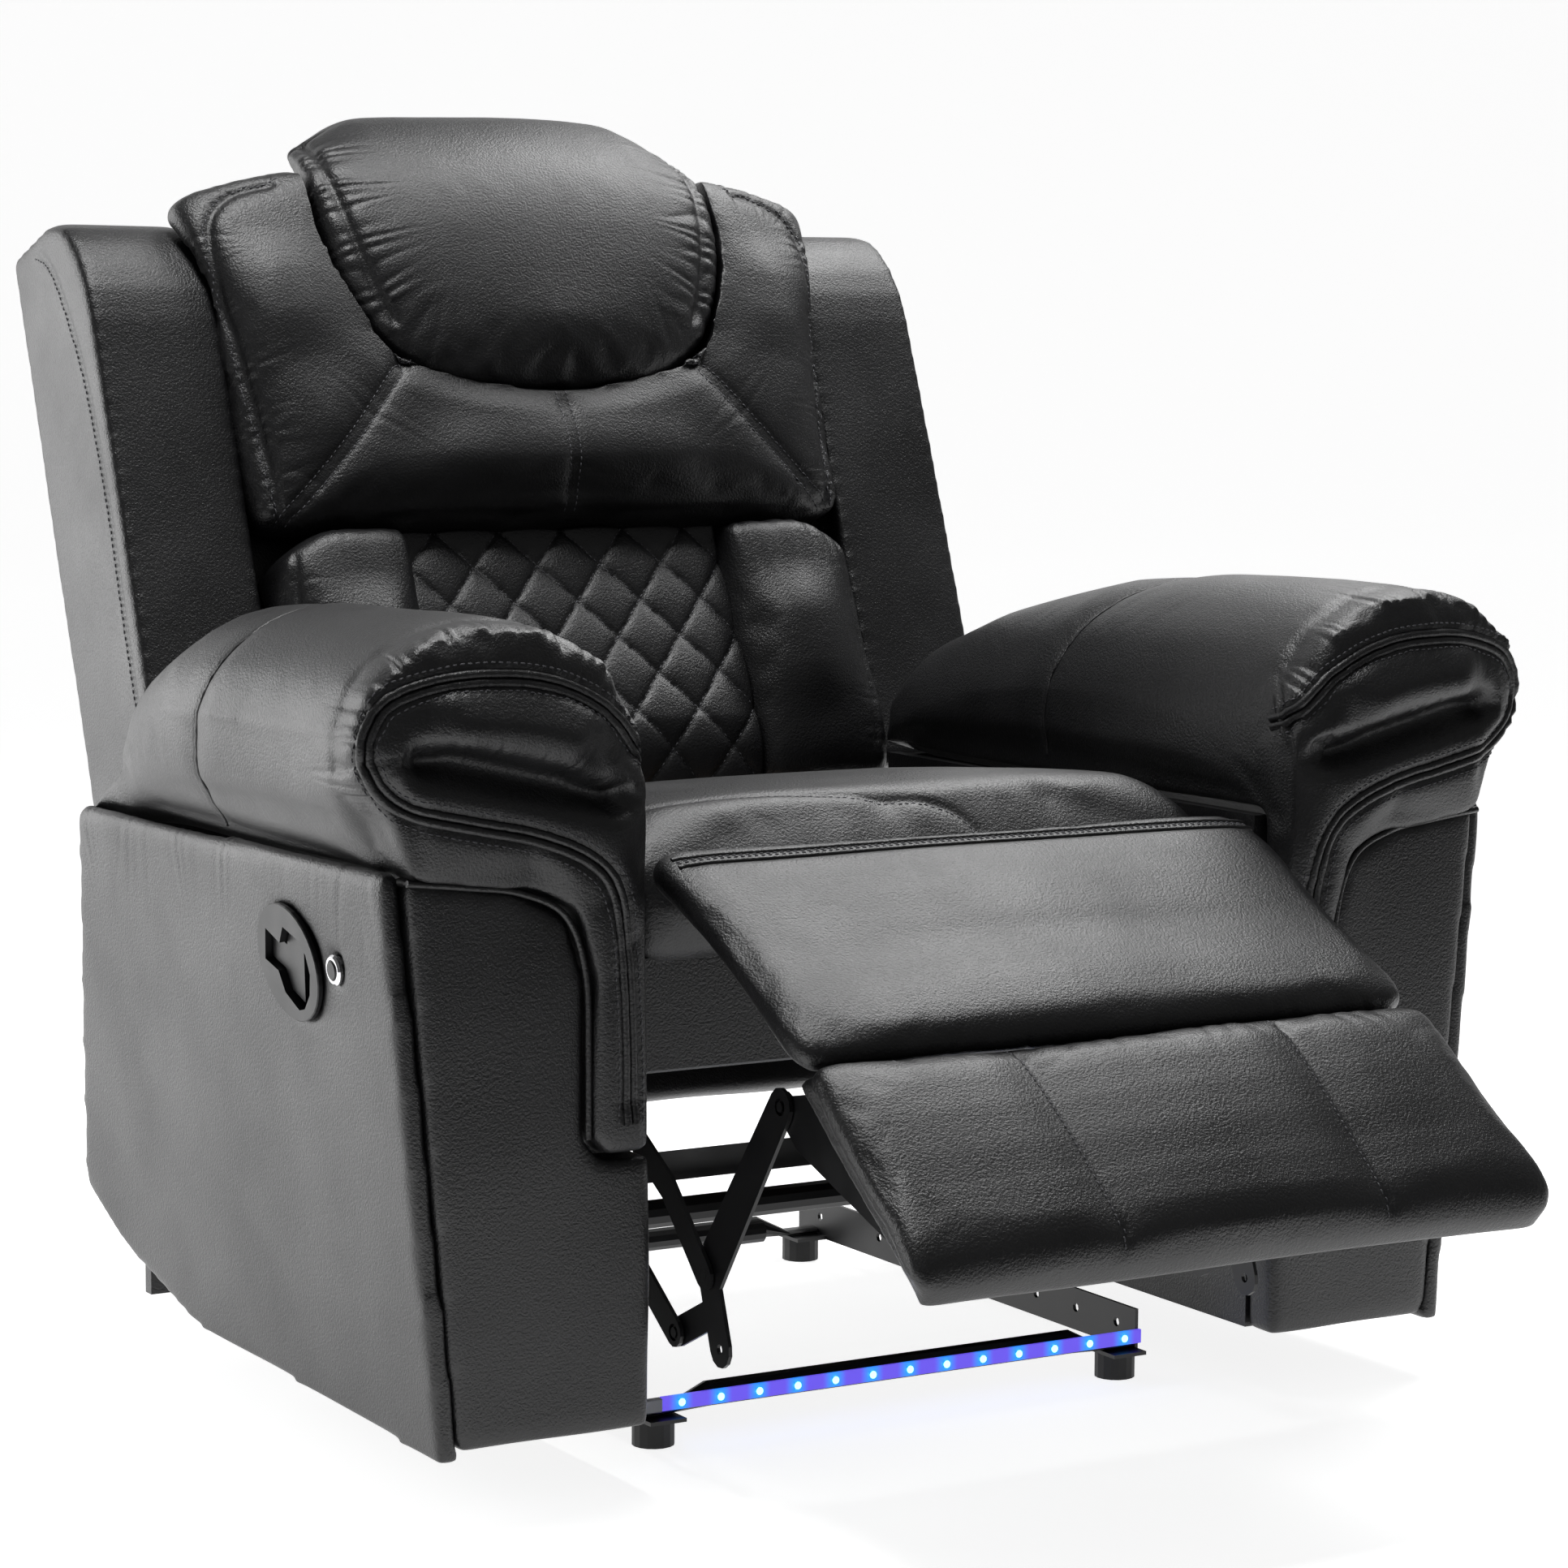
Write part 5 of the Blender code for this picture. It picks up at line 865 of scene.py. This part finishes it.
def wing(side, sign):
    """One wing cover with its stitched edge."""
    name = "back_wing_" + side
    piece = refine(cover(name + "_cover", [name], 6 * MM, 4, BACK))
    undulate(piece, 300 * MM, 0.7 * MM, 51 + sign)
    shift(piece, BACK, (0, 0, -1), 9 * MM * ramp(in_part(piece, BACK)[:, 2], 0.25, 0.18))
    places = in_frame(BACK, [(sign * 0.42, behind, up) for behind, up in WING_SEAM])
    path = laid(piece, places, Vector((-sign, 0, 0)))
    sew(piece, path, 1.6 * MM, 4 * MM)
    stitch_row(piece, "back", path, -sign * 5 * MM)
    return upholstered(piece, "back", [name])


for side, sign in (("left", 1), ("right", -1)):
    bolster(side, sign)
    wing(side, sign)

# %% [markdown]
# The back's rear is a stretched panel with a seam near its border.

# %% Rear panel
REAR_SEAM = [(-0.245, -0.085), (-0.245, 0.2), (-0.262, 0.30), (-0.262, 0.60), (-0.245, 0.645), (-0.1, 0.648),
             (0.1, 0.648), (0.245, 0.645), (0.262, 0.60), (0.262, 0.30), (0.245, 0.2), (0.245, -0.085)]


def rear_panel():
    """The cover of the back's rear."""
    piece = refine(cover("back_rear_cover", ["back_rear_panel"], 7 * MM, 3, BACK))
    undulate(piece, 200 * MM, 0.8 * MM, 61)
    places = in_frame(BACK, [(x, 0.2, up) for x, up in REAR_SEAM])
    path = laid(piece, places, turned(BACK, (0, -1, 0)))
    sew(piece, path, 2.5 * MM, 4 * MM)
    stitch_row(piece, "back", path, 5 * MM)
    return upholstered(piece, "back", ["back_rear_panel"])


rear_panel()

# %% [markdown]
# Each arm is one stuffed cover from its front to its rear. The leather of the roll is
# gathered into a double welt that goes round the padded front and down the inner side:
# two cords side by side, a row of stitches on each side. Two thirds back a plain seam
# crosses the roll.

# %% Arms
ARM_INNER = 0.283
ARM_WIDTH = 0.212
ARM_TOP = 0.646
WELT_SHARES = [(0.035, 0.834), (0.21, 0.895), (0.45, 0.930), (0.744, 0.936), (0.986, 0.918),
               (1.075, 0.885), (1.085, 0.852), (1.036, 0.8195), (0.925, 0.7945), (0.714, 0.777),
               (0.468, 0.759), (0.265, 0.7295), (0.172, 0.6925), (0.132, 0.6265), (0.112, 0.53),
               (0.105, 0.43)]
CREASE_SHARES = [(0.99, 0.850), (0.862, 0.846), (0.665, 0.833), (0.465, 0.818), (0.278, 0.804),
                 (0.168, 0.800), (0.10, 0.818)]
BANK_SHARES = [(0.90, 0.884), (0.70, 0.884), (0.45, 0.872), (0.22, 0.846)]
PANEL_EDGE_SHARES = [(0.93, 0.716), (0.70, 0.707), (0.51, 0.697), (0.34, 0.668), (0.262, 0.60),
                     (0.252, 0.50), (0.252, 0.415)]
CROSS_SEAM = [(0.487, 0.305, 0.468), (0.520, 0.280, 0.555), (0.495, 0.262, 0.612), (0.450, 0.270, 0.640),
              (0.360, 0.312, 0.628), (0.300, 0.335, 0.575), (0.284, 0.332, 0.485)]
WELT_CORD = 3.4 * MM
GATHERED = 62
HEM_TOP = 0.505
HEM_BOTTOM = 0.462
HEM_FALL = 7 * MM
TO_REAR = Vector((0, 1, 0))


def arm_places(shares, sign, y):
    """Places in front of an arm, given as shares of its width and height."""
    return [(sign * (ARM_INNER + ARM_WIDTH * a), ARM_FRONT + y, ARM_TOP * b) for a, b in shares]


def on_arm(piece, shares, sign):
    """A path laid on the arm from its front."""
    return laid(piece, arm_places(shares, sign, -0.1), TO_REAR)


def arm(side, sign):
    """One arm's stuffed cover with its double welt."""
    nodes = ["arm_roll_" + side, "arm_front_pad_" + side]
    piece = refine(stuff(cover("arm_cover_" + side, nodes, 4.5 * MM, 5), 4, 6 * MM, 3 * MM))
    calm(piece, points(piece)[:, 1] > 0.24, 30)
    undulate(piece, 260 * MM, 1.2 * MM, 71 + sign)
    low = points(piece)
    hem = ramp(low[:, 2], HEM_TOP, HEM_BOTTOM) * ramp(sign * low[:, 0], ARM_INNER + 0.08, ARM_INNER + 0.13)
    shift(piece, CHAIR, (0, 0, -1), hem * HEM_FALL * (1 + 0.7 * ramp(low[:, 1], 0.14, 0.28)))
    bank = on_arm(piece, BANK_SHARES, sign)
    swell(piece, bank, 14 * MM, 22 * MM)
    crease = on_arm(piece, CREASE_SHARES, sign)
    sew(piece, crease, 19 * MM, 12 * MM)
    sew(piece, crease, 14 * MM, 5 * MM)
    gather(piece, crease, 20 * MM, 12 * MM, 1.4 * MM, 77 + sign, 0.3)
    path = on_arm(piece, WELT_SHARES, sign)
    gather(piece, path[:GATHERED], 48 * MM, 12 * MM, 5.6 * MM, 81 + sign, 0.45, 0.12)
    gather(piece, path, 13 * MM, 7 * MM, 1.6 * MM, 85 + sign)
    sew(piece, path, 4.5 * MM, 9 * MM)
    cross = laid(piece, [(sign * x, ARM_FRONT + y, z) for x, y, z in CROSS_SEAM])
    sew(piece, cross, 2.0 * MM, 14 * MM)
    sew(piece, cross, 2.6 * MM, 2.6 * MM)
    piping("arm_cross_piping_" + side, laid(piece, list(cross)[::6] + [cross[-1]]), 1.5 * MM, "chair")
    line = on_arm(piece, WELT_SHARES, sign)
    for number, beside in enumerate((-1, 1)):
        cord = offset_path(line, piece, beside * WELT_CORD)
        piping("arm_welt_%s_%d" % (side, number), cord, WELT_CORD, "chair")
        stitch_row(piece, "chair", offset_path(line, piece, beside * 11 * MM))
    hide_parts("arm_welt_" + side)
    return upholstered(piece, "chair", nodes)


for side, sign in (("left", 1), ("right", -1)):
    arm(side, sign)

# %% [markdown]
# Below the roll the arm is a box: a flat front panel with a piped edge, and a smooth
# outer side. Both are boards under thin wadding, so their corners are only eased and
# their faces wave a little. At the rear a strip of leather closes the box.

# %% Arm panels
PANEL_TOP = [(0.02, 0.459), (0.2, 0.459), (0.38, 0.457), (0.50, 0.456), (0.575, 0.450)]


def front_panel(side, sign):
    """The smooth front panel and its piping."""
    name = "arm_front_panel_" + side
    piece = refine(cover("arm_front_cover_" + side, [name], 5 * MM, 5))
    undulate(piece, 150 * MM, 0.6 * MM, 91 + sign)
    edge = smooth_path(arm_places(PANEL_EDGE_SHARES, sign, -1.5 * MM))
    piping("arm_front_piping_" + side, edge, 2.6 * MM, "chair")
    return upholstered(piece, "chair", [name])


def outer_panel(side, sign):
    """The smooth outer side."""
    name = "arm_outer_panel_" + side
    piece = refine(cover("arm_outer_cover_" + side, [name], 5 * MM, 5))
    undulate(piece, 320 * MM, 1.0 * MM, 95 + sign)
    places = [(sign * 0.53, ARM_FRONT + y, z) for y, z in PANEL_TOP]
    path = laid(piece, places, Vector((-sign, 0, 0)))
    gather(piece, path, 45 * MM, 24 * MM, 1.3 * MM, 99 + sign)
    shift(piece, CHAIR, (0, 0, 1), ramp(points(piece)[:, 2], 0.44, 0.47) * 5 * MM)
    return upholstered(piece, "chair", [name])


INNER_EDGE = 0.432
OUTER_LOW = 0.4427
OUTER_SPREAD = 0.095


def rear_strip(side, sign):
    """The strip of leather that closes the arm's rear, from the inner board to the outer side."""
    backward = Vector((0, -1, 0))
    levels = np.linspace(0.10, 0.455, 20)
    near = [(sign * INNER_EDGE, 0.3, z) for z in levels]
    far = [(sign * (OUTER_LOW + OUTER_SPREAD * z), 0.3, z) for z in levels]
    inner = laid(frame["nodes"]["arm_inner_panel_" + side], near, backward)
    outer = laid(frame["nodes"]["arm_outer_panel_" + side], far, backward)
    crown = [Vector((0, 3 * MM * sin(pi * part / 8) - 1 * MM, 0)) for part in range(9)]
    bm = bmesh.new()
    rows = [[bm.verts.new(Vector(start).lerp(Vector(end), part / 8) + crown[part]) for part in range(9)]
            for start, end in zip(inner, outer)]
    for lower, upper in zip(rows, rows[1:]):
        for k in range(8):
            bm.faces.new((lower[k], lower[k + 1], upper[k + 1], upper[k]))
    piece = placed("arm_rear_strip_" + side, bm)
    board = piece.modifiers.new("thickness", "SOLIDIFY")
    board.thickness = 3 * MM
    board.offset = 0.0
    applied(piece)
    finished(piece, "chair", LEATHER_COVER)


for side, sign in (("left", 1), ("right", -1)):
    front_panel(side, sign)
    outer_panel(side, sign)
    rear_strip(side, sign)

# %% [markdown]
# The seat is full in front and firm. A seam crosses it near the front, and the two pads
# of the footrest follow: the upper one plain, with a double seam where it meets the
# seat, the lower one with two stitched seams that pull it into three fields.

# %% Seat and footrest
SEAT_SEAM = [(-0.235, 0.128), (-0.12, 0.118), (-0.02, 0.104), (0.022, 0.096), (0.042, 0.084),
             (0.050, 0.068)]
NOSE_START = 0.045
NOSE_END = 0.135
NOSE_FALL = 24 * MM
LIP_RISE = 9 * MM
LIP_REACH = 9 * MM
LIP_STATIONS = (-0.25, -0.15, -0.05, 0.05, 0.15, 0.25)
DOWN = Vector((0, 0, -1))
INTO_CHAISE = turned(CHAISE, (0, 0, -1))
INTO_OTTOMAN = turned(OTTOMAN, (0, 0, -1))


def seat():
    """The seat cover, whose front runs down to the upper pad."""
    piece = refine(stuff(cover("seat_cover", ["seat_cushion"], 6 * MM, 5), 4, 8 * MM, 3 * MM))
    undulate(piece, 260 * MM, 1.2 * MM, 101)
    spots = in_part(piece, CHAIR)
    over = ramp(spots[:, 2], 0.40, 0.46)
    shift(piece, CHAIR, (0, 0, -1), NOSE_FALL * over * ramp(spots[:, 1], NOSE_END, NOSE_START) ** 1.5)
    shift(piece, CHAIR, (0, 0, -1), 14 * MM * ramp(spots[:, 2], 0.43, 0.39) * ramp(spots[:, 1], 0.115, 0.075))
    path = laid(piece, in_frame(CHAIR, [(x, y, 0.6) for x, y in SEAT_SEAM]), DOWN)
    sew(piece, path, 1.2 * MM, 9 * MM)
    sew(piece, path, 1.8 * MM, 3 * MM)
    stitch_row(piece, "chair", path, 3 * MM)
    return upholstered(piece, "chair", ["seat_cushion"])


def chaise():
    """The upper pad: a double piped band at the seat, a lip that sags over the lower pad."""
    piece = refine(stuff(cover("chaise_cover", ["chaise_pad"], 5 * MM, 4, CHAISE), 3, 4 * MM, 1 * MM))
    undulate(piece, 200 * MM, 1.0 * MM, 111)
    spots = in_part(piece, CHAISE)
    middle = 1 - (spots[:, 0] / 0.275) ** 2
    front = ramp(spots[:, 1], -0.12, -0.215)
    upper = ramp(spots[:, 2], -0.002, 0.030)
    shift(piece, CHAISE, (0, 0, 1), LIP_RISE * middle * front * upper)
    shift(piece, CHAISE, (0, -1, 0), (6 * MM + LIP_REACH * middle) * ramp(spots[:, 1], -0.19, -0.225))
    shift(piece, CHAISE, (0, 0, 1), LIP_RISE * middle * ramp(spots[:, 1], -0.16, -0.22) * (1 - upper))
    low = laid(piece, in_frame(CHAISE, [(x, -0.26, 0.012 + 0.004 * abs(x) / 0.27) for x in LIP_STATIONS]),
               turned(CHAISE, (0, 1, 0)))
    gather(piece, low, 20 * MM, 26 * MM, 2.4 * MM, 115)
    for number, y in enumerate((-0.001, -0.013)):
        places = in_frame(CHAISE, [(x, y, 0.1) for x in (-0.258, -0.12, 0, 0.12, 0.258)])
        band = laid(piece, places, INTO_CHAISE)
        sew(piece, band, 1.5 * MM, 5 * MM)
        piping("chaise_piping_%d" % number, laid(piece, places, INTO_CHAISE), 2.2 * MM, "chaise")
        stitch_row(piece, "chaise", offset_path(band, piece, (5 - 10 * number) * MM))
    return upholstered(piece, "chaise", ["chaise_pad"])


def ottoman():
    """The lower pad and its covered board, pulled into three fields by two seams."""
    nodes = ["ottoman_pad", "ottoman_board"]
    piece = refine(stuff(cover("ottoman_cover", nodes, 4.5 * MM, 5, OTTOMAN), 3, 4 * MM, 1 * MM))
    undulate(piece, 200 * MM, 1.0 * MM, 121)
    spots = in_part(piece, OTTOMAN)
    toe = ramp(spots[:, 1], -0.14, -0.195) * ramp(spots[:, 1], -0.225, -0.200) * ramp(spots[:, 2], 0.0, 0.03)
    shift(piece, OTTOMAN, (0, 0, 1), 3.5 * MM * toe)
    for x in (-0.102, 0.126):
        places = in_frame(OTTOMAN, [(x, y, 0.1) for y in (-0.018, -0.07, -0.12, -0.17, -0.207)])
        path = laid(piece, places, INTO_OTTOMAN)
        sew(piece, path, 3.5 * MM, 22 * MM)
        sew(piece, path, 3.5 * MM, 3.5 * MM)
        stitch_row(piece, "ottoman", path, 4 * MM)
    for sign in (-1, 1):
        edge = laid(piece, in_frame(OTTOMAN, [(sign * 0.32, y, 0.010) for y in (-0.02, -0.08, -0.14, -0.20)]),
                    turned(OTTOMAN, (-sign, 0, 0)))
        sew(piece, edge, 2.5 * MM, 3 * MM)
    head = laid(piece, in_frame(OTTOMAN, [(x, -0.022, 0.1) for x in LIP_STATIONS]), INTO_OTTOMAN)
    gather(piece, head, 26 * MM, 30 * MM, 1.6 * MM, 125)
    return upholstered(piece, "ottoman", nodes)


seat()
chaise()
ottoman()
make_stitches()

# %% [markdown]
# Thirteen small lights sit along the strip on the front tube. Each gets a domed lens,
# a little proud of its chip, that glows nearly white in the blue strip.

# %% Lights on the strip
LENS_RADIUS = 3.0 * MM


def lenses():
    """A domed lens on each light."""
    low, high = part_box("led_strip")
    pitch = (high[0] - low[0]) / LIGHT_COUNT
    bm = bmesh.new()
    for k in range(LIGHT_COUNT):
        spot = Matrix.Translation((low[0] + pitch * (k + 0.5), low[1], (low[2] + high[2]) / 2))
        bmesh.ops.create_uvsphere(bm, u_segments=16, v_segments=10, radius=LENS_RADIUS,
                                  matrix=spot @ Matrix.Diagonal((1, 0.5, 1, 1)))
    piece = placed("light_lenses", bm)
    finished(piece, "chair", LENS)


lenses()

# %% [markdown]
# The studio is plain: a sheet of white paper lies under the chair and sweeps up far
# behind it, and the camera sees floor and room go on in the same white. To everything
# else the room is grey. Black leather shows what it mirrors, so its upward faces pick up
# the paper and the soft lamps, and its front faces stay dark.

# %% Paper sweep, room and lamps
PAPER_FRONT = -1.1
PAPER_REAR = 9.0
PAPER_HALF_WIDTH = 22.0
SWEEP_RADIUS = 3.0
PAPER_TOP = 10.0
ROOM_LEVEL = 0.12
PAPER_GLOW = 0.86


def studio_sheet(name, profile, half_width, material):
    """A wide sheet whose profile is given as (y, z)."""
    bm = bmesh.new()
    rows = [[bm.verts.new((x, y, z)) for x in (-half_width, half_width)] for y, z in profile]
    for lower, upper in zip(rows, rows[1:]):
        bm.faces.new((lower[0], lower[1], upper[1], upper[0]))
    piece = placed(name, bm)
    piece.data.shade_smooth()
    piece.data.materials.append(material)


def pale_ground(name, colour, roughness, seen_white_by):
    """A matt ground that the named kinds of ray see as white; it keeps its shadow."""
    material, tree, shader, place = new_material(name)
    rays = node(tree, "LightPath", {}).outputs
    seen = rays[seen_white_by[0]]
    for kind in seen_white_by[1:]:
        seen = node(tree, "Math", {0: seen, 1: rays[kind]}, operation="MAXIMUM").outputs[0]
    lift = node(tree, "Math", {0: seen, 1: PAPER_GLOW}, operation="MULTIPLY")
    tree.links.new(lift.outputs[0], shader.inputs["Emission Strength"])
    shader.inputs["Emission Color"].default_value = (1, 1, 1, 1)
    shader.inputs["Base Color"].default_value = linear(colour)
    shader.inputs["Roughness"].default_value = roughness
    return material


def room():
    """The even grey of the room, which the camera itself sees as white."""
    world = bpy.data.worlds.new("studio")
    world.use_nodes = True
    bpy.context.scene.world = world
    tree = world.node_tree
    rays = node(tree, "LightPath", {})
    level = node(tree, "MapRange", {"Value": rays.outputs["Is Camera Ray"], "To Min": ROOM_LEVEL,
                                    "To Max": 1.0})
    tree.nodes["Background"].inputs["Color"].default_value = (1, 1, 1, 1)
    tree.links.new(level.outputs["Result"], tree.nodes["Background"].inputs["Strength"])


def lamp(name, place, aim, size, radiance):
    """A soft rectangular lamp that looks at a place; its power follows from its brightness."""
    data = bpy.data.lights.new(name, "AREA")
    data.shape = "RECTANGLE"
    data.size, data.size_y = size
    data.energy = radiance * pi * size[0] * size[1]
    item = bpy.data.objects.new(name, data)
    bpy.context.scene.collection.objects.link(item)
    item.location = place
    item.rotation_euler = (Vector(aim) - Vector(place)).to_track_quat("-Z", "Y").to_euler()


paper = pale_ground("white_background_paper", "#f4f4f4", 0.9,
                    ("Is Camera Ray", "Is Glossy Ray", "Is Transmission Ray"))
concrete = pale_ground("painted_concrete_pale", "#8a8a8c", 0.8, ("Is Camera Ray",))
bend = [(PAPER_REAR + SWEEP_RADIUS * sin(pi / 24 * k), SWEEP_RADIUS * (1 - cos(pi / 24 * k)))
        for k in range(13)]
studio_sheet("paper_sweep", [(PAPER_FRONT, 0), *bend, (PAPER_REAR + SWEEP_RADIUS, PAPER_TOP)],
             PAPER_HALF_WIDTH, paper)
studio_sheet("studio_floor", [(-30, -2 * MM), (30, -2 * MM)], 30, concrete)
room()
lamp("softbox_over_footrest", (1.15, 0.6, 2.3), (0, -0.3, 0.4), (1.15, 1.15), 7.5)
lamp("softbox_above", (-0.35, 0.1, 2.8), (0, 0.1, 0.8), (0.85, 0.65), 21.0)
lamp("softbox_rear_left", (-2.3, 2.6, 0.9), (-0.5, 0, 0.4), (2.4, 1.8), 3.4)
bpy.context.scene.view_settings.view_transform = "Standard"
print("studio ready")
